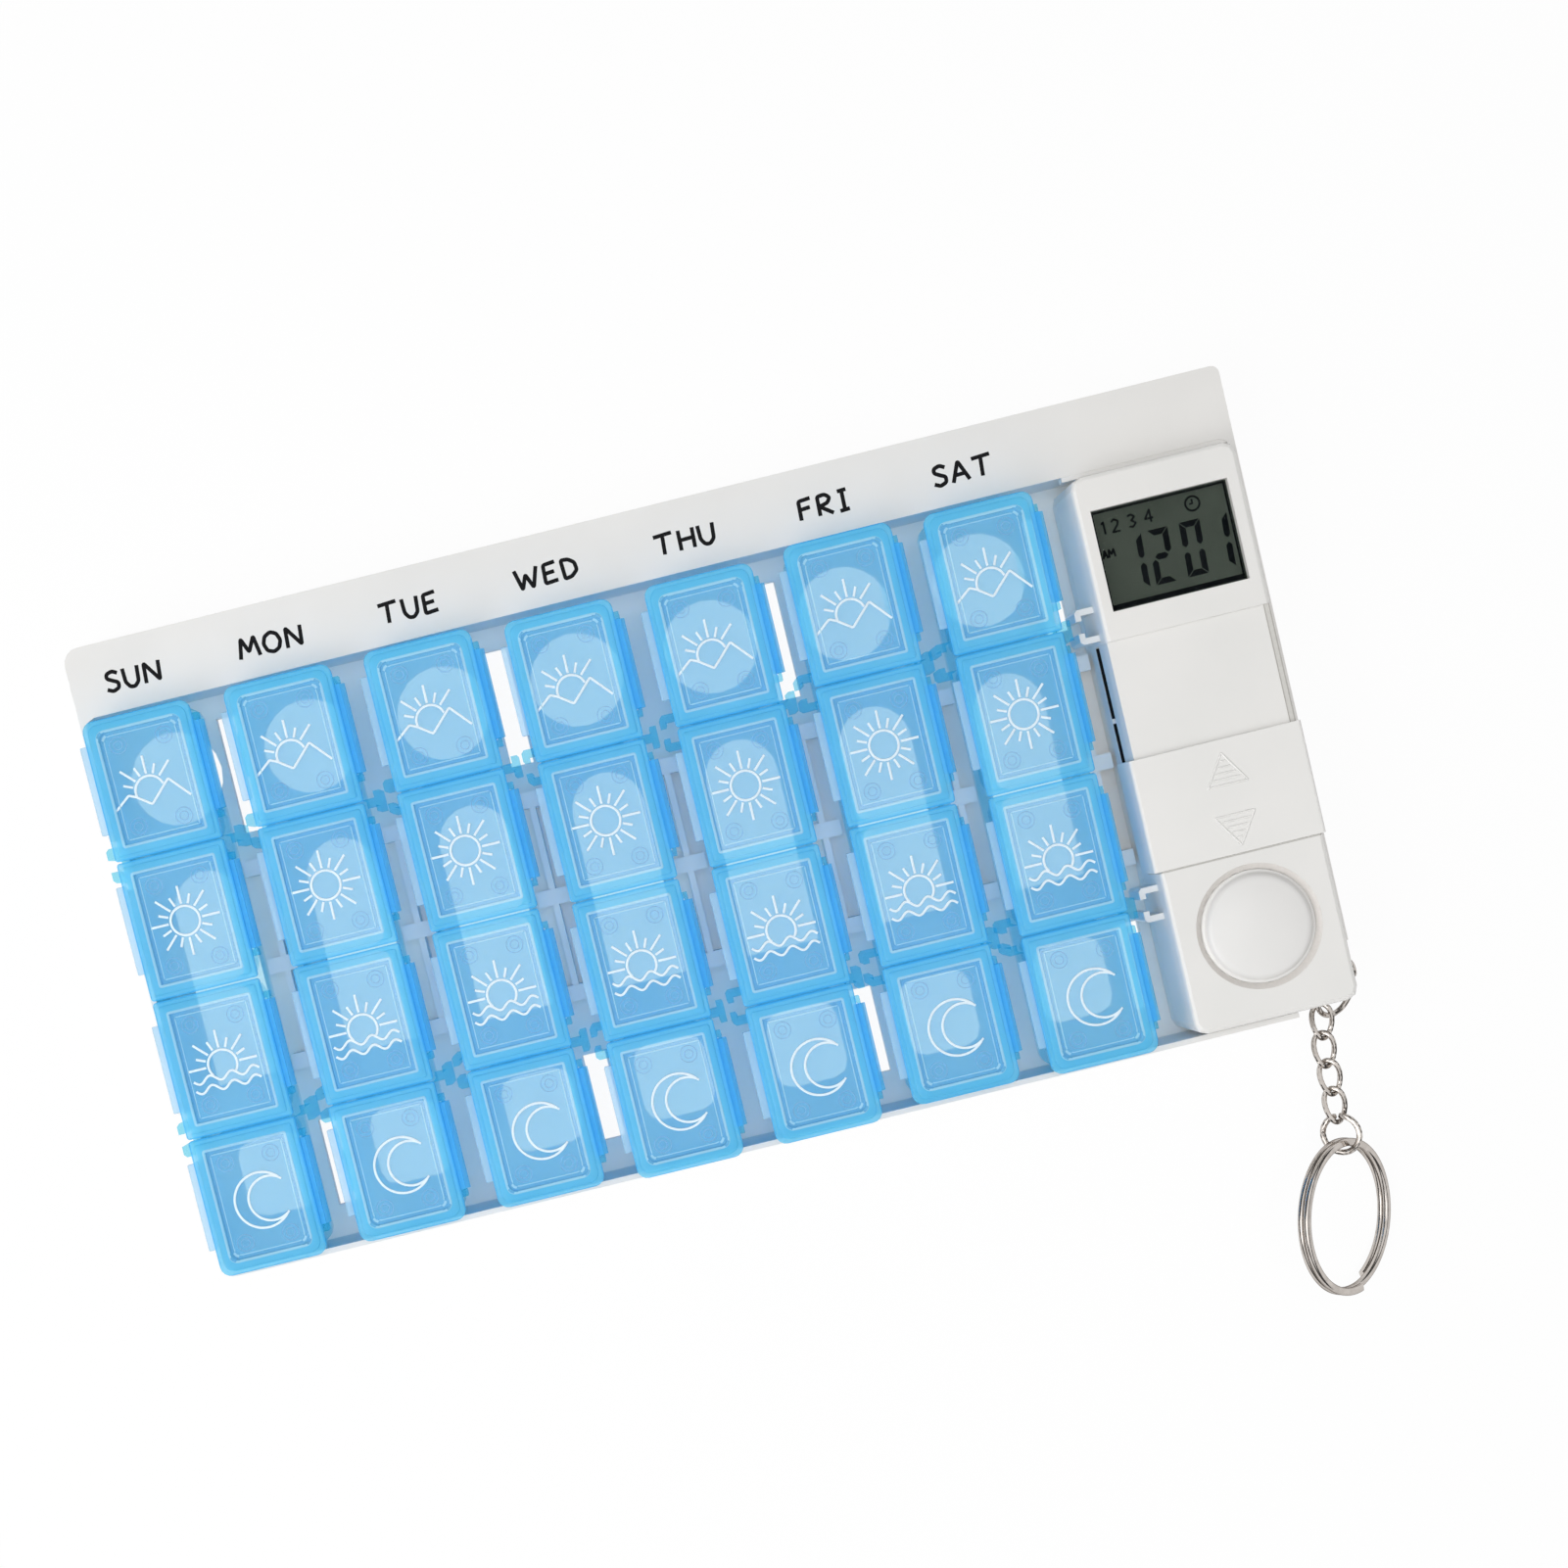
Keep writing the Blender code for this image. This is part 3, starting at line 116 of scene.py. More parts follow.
def blendColours(tree, factor, low, high, fromValue=0.3, toValue=0.7):
    ramp = addNode(tree, "ShaderNodeValToRGB")
    ramp.color_ramp.elements[0].position = fromValue
    ramp.color_ramp.elements[0].color = (*low, 1)
    ramp.color_ramp.elements[1].position = toValue
    ramp.color_ramp.elements[1].color = (*high, 1)
    tree.links.new(factor, ramp.inputs["Fac"])
    return ramp.outputs["Color"]


def grain(tree, shader, scale, depth, strength=0.35):
    noise = mottle(tree, scale, 4)
    bump = addNode(tree, "ShaderNodeBump", Strength=strength, Distance=depth)
    tree.links.new(noise.outputs["Fac"], bump.inputs["Height"])
    tree.links.new(bump.outputs["Normal"], shader.inputs["Normal"])


def shadeRoughness(tree, shader, scale, low, high):
    noise = mottle(tree, scale)
    spread = addNode(tree, "ShaderNodeMapRange")
    spread.inputs["To Min"].default_value = low
    spread.inputs["To Max"].default_value = high
    tree.links.new(noise.outputs["Fac"], spread.inputs["Value"])
    tree.links.new(spread.outputs["Result"], shader.inputs["Roughness"])


# how often the noise repeats per metre: for the colour, for the roughness and for the grain, with its depth
plasticTexture = {"colour": 60, "rough": 240, "grain": 2600, "depth": 0.02 * mm}
blueTexture = {"colour": 90, "rough": 300, "grain": 1500, "depth": 0.03 * mm}
plasticSettings = {
    "trayWhite": {"low": (0.735, 0.725, 0.705), "high": (0.765, 0.755, 0.735), "rough": (0.42, 0.52)},
    "timerWhite": {"low": (0.75, 0.745, 0.725), "high": (0.78, 0.77, 0.75), "rough": (0.36, 0.46)},
    "coverWhite": {"low": (0.76, 0.755, 0.735), "high": (0.79, 0.78, 0.76), "rough": (0.38, 0.48)},
    "buttonWhite": {"low": (0.74, 0.735, 0.72), "high": (0.77, 0.76, 0.745), "rough": (0.22, 0.28)},
    "insideBlack": {"low": (0.02, 0.02, 0.02), "high": (0.03, 0.03, 0.03), "rough": (0.45, 0.55)},
}


def colourShader(tree, shader, scale, settings):
    noise = mottle(tree, scale)
    colour = blendColours(tree, noise.outputs["Fac"], settings["low"], settings["high"])
    tree.links.new(colour, shader.inputs["Base Color"])
    return colour


def mouldedPlastic(name, settings, texture):
    material, tree, shader = newMaterial(name)
    colourShader(tree, shader, texture["colour"], settings)
    shadeRoughness(tree, shader, texture["rough"], *settings["rough"])
    grain(tree, shader, texture["grain"], texture["depth"])
    return material


# the blue plastic: its own colour, the share of light it lets through and the tint that takes
blueSettings = {
    "blueLid": {
        "low": (0.19, 0.70, 0.98), "high": (0.23, 0.74, 1.0), "glow": 0.3,
        "clear": 0.50, "tint": (0.80, 0.97, 0.99), "rough": (0.20, 0.30),
    },
    "bluePanel": {
        "low": (0.27, 0.56, 0.83), "high": (0.31, 0.60, 0.85), "glow": 0.2,
        "clear": 0.68, "tint": (0.99, 0.99, 0.99), "rough": (0.26, 0.36),
    },
    # painted shade: a darker blue for the lid's outer rim and sides, standing for their dark edge lines
    "blueEdgeShade": {
        "low": (0.10, 0.56, 0.95), "high": (0.13, 0.60, 0.97), "glow": 0.2,
        "clear": 0.48, "tint": (0.64, 0.92, 1.0), "rough": (0.20, 0.30),
    },
    "blueTab": {
        "low": (0.50, 0.77, 0.94), "high": (0.55, 0.80, 0.95), "glow": 0.2,
        "clear": 0.55, "tint": (0.90, 0.96, 0.99), "rough": (0.20, 0.30),
    },
    # painted highlight: a paler blue for the raised lines, standing for the light they catch
    "blueHighlightLine": {
        "low": (0.58, 0.89, 1.0), "high": (0.63, 0.92, 1.0), "glow": 0.1,
        "clear": 0.52, "tint": (0.92, 0.98, 1.0), "rough": (0.16, 0.24),
    },
    "blueStrip": {
        "low": (0.06, 0.70, 0.99), "high": (0.10, 0.74, 1.0), "glow": 0.5,
        "clear": 0.80, "tint": (0.66, 0.94, 0.985), "rough": (0.20, 0.30),
        "floorClear": 0.92, "floorTint": (0.95, 0.98, 0.99), "floorHeights": (4.0 * mm, 6.5 * mm),
    },
}


def clearFloor(tree, through, both, settings):
    # a thin floor lets more through than the walls seen from above
    where = addNode(tree, "ShaderNodeTexCoord")
    split = addNode(tree, "ShaderNodeSeparateXYZ")
    tree.links.new(where.outputs["Object"], split.inputs["Vector"])
    shares = []
    for low, high in ((0, 1), (settings["floorClear"], settings["clear"])):
        heights = addNode(tree, "ShaderNodeMapRange")
        limits = (*settings["floorHeights"], low, high)
        for socket, limit in zip(("From Min", "From Max", "To Min", "To Max"), limits):
            heights.inputs[socket].default_value = limit
        tree.links.new(split.outputs["Z"], heights.inputs["Value"])
        shares.append(heights.outputs["Result"])
    tint = blendColours(tree, shares[0], settings["floorTint"], settings["tint"], 0, 1)
    tree.links.new(tint, through.inputs["Color"])
    tree.links.new(shares[1], both.inputs["Fac"])


def tintedPlastic(name, settings, texture):
    material, tree, shader = newMaterial(name)
    colour = colourShader(tree, shader, texture["colour"], settings)
    shadeRoughness(tree, shader, texture["rough"], *settings["rough"])
    grain(tree, shader, texture["grain"], texture["depth"])
    glow = addNode(tree, "ShaderNodeBsdfTranslucent")
    tree.links.new(colour, glow.inputs["Color"])
    body = addNode(tree, "ShaderNodeMixShader", Fac=settings["glow"])
    tree.links.new(shader.outputs["BSDF"], body.inputs[1])
    tree.links.new(glow.outputs["BSDF"], body.inputs[2])
    through = addNode(tree, "ShaderNodeBsdfTransparent", Color=(*settings["tint"], 1))
    both = addNode(tree, "ShaderNodeMixShader", Fac=settings["clear"])
    tree.links.new(body.outputs["Shader"], both.inputs[1])
    tree.links.new(through.outputs["BSDF"], both.inputs[2])
    if "floorClear" in settings:
        clearFloor(tree, through, both, settings)
    tree.links.new(both.outputs["Shader"], tree.nodes["Material Output"].inputs["Surface"])
    return material


def nickelPlate(name, settings):
    material, tree, shader = newMaterial(name)
    colourShader(tree, shader, settings["colour"], settings)
    shader.inputs["Metallic"].default_value = 1
    shader.inputs["Specular Tint"].default_value = (*settings["edge"], 1)
    shadeRoughness(tree, shader, settings["fine"], *settings["rough"])
    return material


def displayGlass(name, settings):
    material, tree, shader = newMaterial(name)
    colourShader(tree, shader, settings["colour"], settings)
    shader.inputs["Specular IOR Level"].default_value = settings["shine"]
    shadeRoughness(tree, shader, settings["fine"], *settings["rough"])
    return material


def clearWindow(name, settings):
    material, tree, shader = newMaterial(name)
    colourShader(tree, shader, settings["colour"], settings)
    shader.inputs["Transmission Weight"].default_value = 1
    shader.inputs["IOR"].default_value = settings["bend"]
    shadeRoughness(tree, shader, settings["fine"], *settings["rough"])
    return material


def printedInk(name, settings, scale=1800):
    material, tree, shader = newMaterial(name)
    shader.inputs["Specular IOR Level"].default_value = settings["shine"]
    colourShader(tree, shader, scale, settings)
    shader.inputs["Roughness"].default_value = settings["rough"]
    return material


nickelSettings = {
    "low": (0.54, 0.50, 0.465), "high": (0.66, 0.615, 0.575), "edge": (0.25, 0.23, 0.22),
    "rough": (0.10, 0.20), "colour": 700, "fine": 900,
}
displaySheet = {
    "low": (0.034, 0.042, 0.034), "high": (0.040, 0.049, 0.040), "shine": 0.05,
    "rough": (0.3, 0.4), "colour": 120, "fine": 400,
}
windowSheet = {
    "low": (0.95, 0.96, 0.95), "high": (0.98, 0.98, 0.98), "bend": 1.03,
    "rough": (0.0, 0.03), "colour": 200, "fine": 400,
}
inkSettings = {
    # black for the printed day names, and also for strips of painted shade
    "blackInkAndShade": {"low": (0.004, 0.004, 0.005), "high": (0.008, 0.008, 0.009), "rough": 0.5, "shine": 0.1},
    "whiteInk": {"low": (0.70, 0.83, 0.92), "high": (0.76, 0.87, 0.94), "rough": 0.6, "shine": 0.5},
    # black for the printed display, and also for the border, whose front strip is painted shade
    "digitInkAndShade": {"low": (0.002, 0.003, 0.004), "high": (0.004, 0.005, 0.006), "rough": 0.4, "shine": 0.02},
    # painted shade: grey standing for the shade in the rail's lower slideway and in the cover's front joint
    "paintedShadeGrey": {"low": (0.58, 0.57, 0.54), "high": (0.62, 0.61, 0.58), "rough": 0.5, "shine": 0.5},
    # painted shadow: darker lines along the slideway's edges
    "shadowLineGrey": {"low": (0.40, 0.385, 0.36), "high": (0.44, 0.425, 0.40), "rough": 0.5, "shine": 0.5},
    # painted shade: the grey of the shaded recess round the button
    "seatShadeGrey": {"low": (0.64, 0.61, 0.58), "high": (0.68, 0.65, 0.62), "rough": 0.4, "shine": 0.5},
    "boardGreen": {"low": (0.02, 0.14, 0.06), "high": (0.04, 0.20, 0.09), "rough": 0.4, "shine": 0.5},
}

finishes = {name: mouldedPlastic(name, values, plasticTexture) for name, values in plasticSettings.items()}
finishes.update({name: tintedPlastic(name, values, blueTexture) for name, values in blueSettings.items()})
finishes["nickel"] = nickelPlate("nickel", nickelSettings)
finishes["display"] = displayGlass("display", displaySheet)
finishes["window"] = clearWindow("window", windowSheet)
finishes.update({name: printedInk(name, values) for name, values in inkSettings.items()})
print("pill box:", len(finishes), "finishes made")

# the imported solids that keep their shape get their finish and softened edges
chainLinks = [f"chain_link_{link}" for link in range(1, 5)]
strips = ["strip_" + day for day in dayNames]
finishNodes = {
    "trayWhite": ["tray"],
    "timerWhite": ["timer_case", "timer_back", "battery_door"],
    "coverWhite": ["slide_cover"],
    "display": ["lcd_panel"],
    "window": ["lcd_lens"],
    "insideBlack": ["lcd_frame", "button_switch", "buzzer", "set_key_1", "set_key_2", "set_key_3"],
    "boardGreen": ["circuit_board"],
    "nickel": ["coin_cell", "contact_minus", "contact_plus", "corner_ring", "jump_ring", *chainLinks],
    "blueStrip": strips,
}
softEdges = {
    "tray": 0.3 * mm, "timer_case": 0.3 * mm, "timer_back": 0.3 * mm, "slide_cover": 0.2 * mm,
    "battery_door": 0.2 * mm, **{name: 0.15 * mm for name in strips},
}
# how much fuller the wire gets, so that its rounding doesn't make it thinner
wireFullness = {
    "corner_ring": 0.04 * mm, "jump_ring": 0.13 * mm, **{name: 0.11 * mm for name in chainLinks},
}


def paint(obj, finish):
    obj.data.materials.clear()
    obj.data.materials.append(finishes[finish])


def weld(obj):
    obj.modifiers.new("joined", "WELD").merge_threshold = weldReach


def softenEdges(obj, width, turnLimit=30):
    weld(obj)
    bevel = obj.modifiers.new("softEdges", "BEVEL")
    bevel.width = width
    bevel.segments = 2
    bevel.limit_method = "ANGLE"
    bevel.angle_limit = radians(turnLimit)
    bevel.harden_normals = True


def roundOut(obj, thicker, levels=1):
    weld(obj)
    rounder = obj.modifiers.new("rounder", "SUBSURF")
    rounder.levels = rounder.render_levels = levels
    fuller = obj.modifiers.new("fuller", "DISPLACE")
    fuller.mid_level = 0
    fuller.strength = thicker


for finish, names in finishNodes.items():
    for name in names:
        paint(nodes[name], finish)
for name, width in softEdges.items():
    softenEdges(nodes[name], width)
for name, thicker in wireFullness.items():
    roundOut(nodes[name], thicker)
print("pill box: packed solids finished")


# helpers for new pieces

def vertsOf(parts):
    return [part for part in parts if isinstance(part, bmesh.types.BMVert)]


def addPiece(name, mesh, finish, body):
    obj = bpy.data.objects.new(name, mesh)
    bpy.context.scene.collection.objects.link(obj)
    mesh.materials.append(finishes[finish])
    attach(obj, body)
    return obj


def meshOf(name, shape, smooth=True, sharpAngle=35):
    mesh = bpy.data.meshes.new(name)
    bmesh.ops.recalc_face_normals(shape, faces=shape.faces)
    shape.to_mesh(mesh)
    shape.free()
    if smooth:
        mesh.shade_smooth()
        mesh.set_sharp_from_angle(angle=radians(sharpAngle))
    return mesh


def strokeMesh(name, strokes, width, height):
    # each stroke is a list of flat points, drawn as a low rounded line standing on z 0
    curve = bpy.data.curves.new(name, "CURVE")
    curve.dimensions = "3D"
    curve.bevel_depth = width / 2
    curve.bevel_resolution = 2
    curve.use_fill_caps = True
    for points in strokes:
        closed = len(points) > 2 and (Vector(points[0]) - Vector(points[-1])).length < width / 10
        spline = curve.splines.new("POLY")
        spline.use_cyclic_u = closed
        if closed:
            points = points[:-1]
        spline.points.add(len(points) - 1)
        for spot, (x, y) in zip(spline.points, points):
            spot.co = (x, y, 0, 1)
    holder = bpy.data.objects.new(name, curve)
    bpy.context.scene.collection.objects.link(holder)
    graph = bpy.context.evaluated_depsgraph_get()
    mesh = bpy.data.meshes.new_from_object(holder.evaluated_get(graph))
    bpy.data.objects.remove(holder)
    mesh.transform(Matrix.Diagonal((1, 1, 2 * height / width, 1)))
    mesh.shade_smooth()
    return mesh


def softCorners(points, reach, steps=4, most=0.45):
    # rounds the sharp corners of a stroke, so that the line keeps its width there
    closed = len(points) > 2 and (Vector(points[0]) - Vector(points[-1])).length < reach / 10
    ring = points[:-1] if closed else points
    count = len(ring)
    soft = [] if closed else [points[0]]
    for index in range(count) if closed else range(1, count - 1):
        before, here, after = (Vector(ring[(index + step) % count]) for step in (-1, 0, 1))
        back, ahead = before - here, after - here
        start = here + back * min(most, reach / back.length)
        end = here + ahead * min(most, reach / ahead.length)
        for step in range(steps + 1):
            share = step / steps
            soft.append(tuple(start.lerp(here, share).lerp(here.lerp(end, share), share)))
    soft.append(soft[0] if closed else points[-1])
    return soft


def arcPoints(centre, radius, start, end, steps):
    angles = [radians(start + (end - start) * step / steps) for step in range(steps + 1)]
    return [(centre[0] + radius * cos(a), centre[1] + radius * sin(a)) for a in angles]


def cleanBlock(shape, size, middle):
    made = bmesh.ops.create_cube(shape, size=1)["verts"]
    bmesh.ops.scale(shape, vec=size, verts=made)
    bmesh.ops.translate(shape, vec=middle, verts=made)
    return made


def turnSection(shape, section, closed, steps):
    # a section, given as reach and height, turned once round the upright axis
    verts = [shape.verts.new((reach, 0, level)) for reach, level in section]
    pairs = list(zip(verts, verts[1:]))
    if closed:
        pairs.append((verts[-1], verts[0]))
    edges = [shape.edges.new(pair) for pair in pairs]
    bmesh.ops.spin(
        shape, geom=verts + edges, cent=(0, 0, 0), axis=(0, 0, 1), angle=2 * pi, steps=steps,
        use_merge=True, use_duplicate=False,
    )


# lids: plate with a low rim, raised frame line, sunk panel, plug, tab, hook and ejector marks
lidSettings = {
    "width": 20.2 * mm,
    "length": 26.05 * mm,
    "out": 0.6 * mm,      # from the hinge rod to the plate
    "low": 1.1 * mm,      # underside above the rod
    "thick": 1.6 * mm,
    "outerCorner": 2.0 * mm,
    "innerCorner": 0.6 * mm,
    "cornerSteps": 4,
    # distance in from the lid's edge, and height above the plateau, in millimetres
    "topSteps": (
        (0.12, -0.42), (0.3, -0.36), (0.85, -0.35), (0.95, -0.1), (1.1, 0), (2.1, 0), (2.2, 0.12),
        (2.5, 0.12), (2.62, 0), (2.75, -0.25), (2.95, -0.3), (3.3, -0.3), (3.36, -0.24), (3.5, -0.24),
        (3.56, -0.3),
    ),
    "edgeDrop": 0.55 * mm,
    # the same below, from the underside down
    "lowSteps": ((2.4, 0), (2.42, -1.3), (2.52, -1.4), (3.2, -1.4), (3.3, -1.3), (3.3, 0)),
    "panelDrop": 0.3 * mm,
    # finishes by distance in from the plate's edge, in millimetres; the rest is the frame's. The rim's darker
    # finish is painted shade, and the raised lines' paler finish is painted highlight
    "zones": (
        (-0.06, 0.28, "blueEdgeShade"), (2.12, 2.6, "blueHighlightLine"), (2.6, 3.31, "bluePanel"),
        (3.31, 3.5, "blueHighlightLine"), (3.5, 30, "bluePanel"),
    ),
    "mark": {
        "radii": (1.65 * mm, 0.9075 * mm), "across": 4.3 * mm, "along": 7.6 * mm,
        "line": 0.22 * mm, "rise": 0.05 * mm, "sink": 0.02 * mm, "segments": 24,
    },
    "tab": {
        "length": 16.6 * mm, "shift": 0.55 * mm, "reach": 1.4 * mm, "low": 0.3 * mm, "thick": 1.2 * mm,
        "overlap": 0.4 * mm, "round": 0.25 * mm,
    },
    "hook": {
        "bore": 0.7 * mm, "wall": 0.4 * mm, "start": 75, "sweep": 225, "steps": 14,
        "tongue": {"width": 1.6 * mm, "thick": 0.5 * mm, "across": -0.55 * mm, "rise": 0.2 * mm},
    },
}
lidFinishes = ("blueLid", "bluePanel", "blueTab", "blueHighlightLine", "blueEdgeShade")


def stepInwards(shape, face, centre, size, level, steps):
    # each step is a new ring, further in and at another height
    width, length = size
    for inset, rise in steps:
        grown = bmesh.ops.extrude_face_region(shape, geom=[face])["geom"]
        if face.is_valid:
            shape.faces.remove(face)
        verts = vertsOf(grown)
        face = [g for g in grown if isinstance(g, bmesh.types.BMFace)][0]
        newWidth, newLength = size[0] - 2 * inset * mm, size[1] - 2 * inset * mm
        shrink = (newWidth / width, newLength / length, 1)
        bmesh.ops.scale(shape, vec=shrink, verts=verts, space=Matrix.Translation(-centre))
        bmesh.ops.translate(shape, vec=(0, 0, level + rise * mm - verts[0].co.z), verts=verts)
        width, length = newWidth, newLength
    return face


def lidShape(settings, backRound, frontRound):
    shape = bmesh.new()
    size = (settings["width"], settings["length"])
    low = settings["low"]
    high = low + settings["thick"]
    centre = Vector((-settings["out"] - size[0] / 2, 0, 0))
    edgeHigh = high - settings["edgeDrop"]
    cleanBlock(shape, (*size, edgeHigh - low), centre + Vector((0, 0, (low + edgeHigh) / 2)))
    for side, rounded in ((1, backRound), (-1, frontRound)):
        upright = [
            e for e in shape.edges
            if abs(e.verts[0].co.z - e.verts[1].co.z) > (edgeHigh - low) / 2
            and e.verts[0].co.y * side > 0
        ]
        bmesh.ops.bevel(
            shape, geom=upright, offset=settings["outerCorner"] if rounded else settings["innerCorner"],
            segments=settings["cornerSteps"], profile=0.5, affect="EDGES", material=-1,
        )
    shape.normal_update()
    top = [f for f in shape.faces if f.normal.z > 0.9][0]
    bottom = [f for f in shape.faces if f.normal.z < -0.9][0]
    stepInwards(shape, top, centre, size, high, settings["topSteps"])
    stepInwards(shape, bottom, centre, size, low, settings["lowSteps"])
    return shape, centre.x, high


def finishFaces(shape, before, slot):
    for face in shape.faces:
        if face not in before:
            face.material_index = slot


def addTab(shape, settings):
    tab = settings["tab"]
    left = -settings["out"] - settings["width"]
    size = (tab["reach"] + tab["overlap"], tab["length"], tab["thick"])
    middle = (left - (tab["reach"] - tab["overlap"]) / 2, tab["shift"], tab["low"] + tab["thick"] / 2)
    before = set(shape.faces)
    verts = cleanBlock(shape, size, middle)
    edges = list({e for v in verts for e in v.link_edges})
    bmesh.ops.bevel(
        shape, geom=edges, offset=tab["round"], segments=2, profile=0.5, affect="EDGES", material=-1
    )
    finishFaces(shape, before, lidFinishes.index("blueTab"))


def addHook(shape, settings):
    # an open ring over the rod, spun from one short edge, with a tongue to the plate
    hook, tab = settings["hook"], settings["tab"]
    start = radians(hook["start"])
    before = set(shape.verts)
    ends = [
        shape.verts.new((radius * cos(start), 0, radius * sin(start)))
        for radius in (hook["bore"], hook["bore"] + hook["wall"])
    ]
    edge = shape.edges.new(ends)
    bmesh.ops.spin(
        shape, geom=[*ends, edge], cent=(0, 0, 0), axis=(0, 1, 0), angle=radians(hook["sweep"]),
        steps=hook["steps"], use_duplicate=False,
    )
    faces = [f for f in shape.faces if all(v not in before for v in f.verts)]
    raised = bmesh.ops.extrude_face_region(shape, geom=faces)["geom"]
    bmesh.ops.translate(shape, vec=(0, tab["length"], 0), verts=vertsOf(raised))
    ring = [v for v in shape.verts if v not in before]
    bmesh.ops.translate(shape, vec=(0, tab["shift"] - tab["length"] / 2, 0), verts=ring)
    tongue = hook["tongue"]
    cleanBlock(
        shape,
        (tongue["width"], tab["length"], tongue["thick"]),
        (tongue["across"], tab["shift"], settings["low"] + tongue["rise"]),
    )


def addRing(shape, mark, radius, spot):
    # a low ring, as an ejector pin leaves it
    before = set(shape.faces)
    bmesh.ops.create_circle(
        shape, cap_ends=True, radius=radius, segments=mark["segments"], matrix=Matrix.Translation(spot)
    )
    disc = [f for f in shape.faces if f not in before]
    made = bmesh.ops.inset_region(
        shape, faces=disc, thickness=mark["line"], use_boundary=True, use_even_offset=True
    )["faces"]
    bmesh.ops.delete(shape, geom=disc, context="FACES")
    lifted = bmesh.ops.extrude_face_region(shape, geom=made)["geom"]
    bmesh.ops.translate(shape, vec=(0, 0, mark["rise"]), verts=vertsOf(lifted))


def addMarks(shape, mark, middleX, panelZ):
    for acrossSide in (-1, 1):
        for alongSide in (-1, 1):
            spot = (middleX + acrossSide * mark["across"], alongSide * mark["along"], panelZ - mark["sink"])
            for radius in mark["radii"]:
                addRing(shape, mark, radius, spot)


def lidMesh(name, settings, backRound, frontRound):
    shape, middleX, high = lidShape(settings, backRound, frontRound)
    addTab(shape, settings)
    addHook(shape, settings)
    addMarks(shape, settings["mark"], middleX, high - settings["panelDrop"])
    return meshOf(name, shape)


def paintZones(lid, settings, hinge):
    # the thin sheet in the middle is paler than its frame; the raised lines get a paler finish as painted
    # highlight, and the outer rim a darker one as painted shade
    for finish in lidFinishes[1:]:
        lid.data.materials.append(finishes[finish])
    centre = hinge + Vector((-settings["out"] - settings["width"] / 2, 0, 0))
    for face in lid.data.polygons:
        spot = face.center - centre
        inwards = min(settings["width"] / 2 - abs(spot.x), settings["length"] / 2 - abs(spot.y)) / mm
        if face.material_index or spot.z <= settings["low"]:
            continue
        for start, end, finish in settings["zones"]:
            if start < inwards < end:
                face.material_index = lidFinishes.index(finish)


# pictograms printed on the lids, drawn about the middle of each lid, with arcs as start, end and steps
pictogramSettings = {
    "lineWidth": 0.46 * mm,
    "lineHeight": 0.05 * mm,
    "sunRadius": 2.7 * mm,
    "rays": {"start": 3.15 * mm, "reaches": (6.5 * mm, 5.0 * mm), "turn": 22.5},
    "suns": {
        "rising": {"centre": (-0.6 * mm, -1.7 * mm), "arc": (16, 193, 26), "firstRay": 45, "rays": 6},
        "full": {"centre": (-0.3 * mm, 0.1 * mm), "arc": (0, 360, 40), "firstRay": 90, "rays": 16},
        "overSea": {"centre": (-0.2 * mm, -0.8 * mm), "arc": (-38, 218, 30), "firstRay": 0, "rays": 9},
    },
    # the ridge's points and the waves' sizes in millimetres
    "ridge": ((-7.6, -4.0), (-4.7, -1.7), (-3.4, -2.3), (-0.8, -4.2), (3.1, -0.3), (6.5, -4.2)),
    "ridgeRound": 0.3 * mm,
    "waves": {"levels": (-2.9, -4.7), "from": -6.2, "to": 6.2, "swing": 0.62, "length": 4.1, "steps": 40},
    # the moon's inner arc as shares of its outer radius
    "moon": {
        "radius": 5.2 * mm, "centre": (0.75 * mm, -0.6 * mm), "outer": (37, 323, 44),
        "inner": (50.4, 309.6, 36), "innerShare": 0.798, "shiftShare": 0.298,
    },
}


def sunStrokes(name, settings):
    sun, rays = settings["suns"][name], settings["rays"]
    x, y = sun["centre"]
    strokes = [arcPoints(sun["centre"], settings["sunRadius"], *sun["arc"])]
    for index in range(sun["rays"]):
        turn = radians(sun["firstRay"] + rays["turn"] * index)
        ends = (rays["start"], rays["reaches"][index % 2])
        strokes.append([(x + reach * cos(turn), y + reach * sin(turn)) for reach in ends])
    return strokes


def ridgeStroke(settings):
    return softCorners([(x * mm, y * mm) for x, y in settings["ridge"]], settings["ridgeRound"])


def waveStrokes(sea):
    strokes = []
    for level in sea["levels"]:
        wave = []
        for step in range(sea["steps"] + 1):
            x = sea["from"] + (sea["to"] - sea["from"]) * step / sea["steps"]
            wave.append((x * mm, (level + sea["swing"] * sin(2 * pi * x / sea["length"])) * mm))
        strokes.append(wave)
    return strokes


def moonStroke(moon):
    x, y = moon["centre"]
    radius = moon["radius"]
    outer = arcPoints((x, y), radius, *moon["outer"])
    inner = arcPoints((x + radius * moon["shiftShare"], y), radius * moon["innerShare"], *moon["inner"])
    return outer + inner[::-1] + [outer[0]]


pictogramStrokes = (
    [*sunStrokes("rising", pictogramSettings), ridgeStroke(pictogramSettings)],
    sunStrokes("full", pictogramSettings),
    [*sunStrokes("overSea", pictogramSettings), *waveStrokes(pictogramSettings["waves"])],
    [moonStroke(pictogramSettings["moon"])],
)
lineSize = (pictogramSettings["lineWidth"], pictogramSettings["lineHeight"])
pictograms = [
    strokeMesh(f"pictogram{row + 1}", strokes, *lineSize) for row, strokes in enumerate(pictogramStrokes)
]
lidKinds = (
    lidMesh("lidBack", lidSettings, True, False),
    lidMesh("lidMiddle", lidSettings, False, False),
    lidMesh("lidMiddle", lidSettings, False, False),
    lidMesh("lidFront", lidSettings, False, True),
)
panelTop = lidSettings["low"] + lidSettings["thick"] - lidSettings["panelDrop"]
panelMiddle = Vector((-lidSettings["out"] - lidSettings["width"] / 2, 0, panelTop))
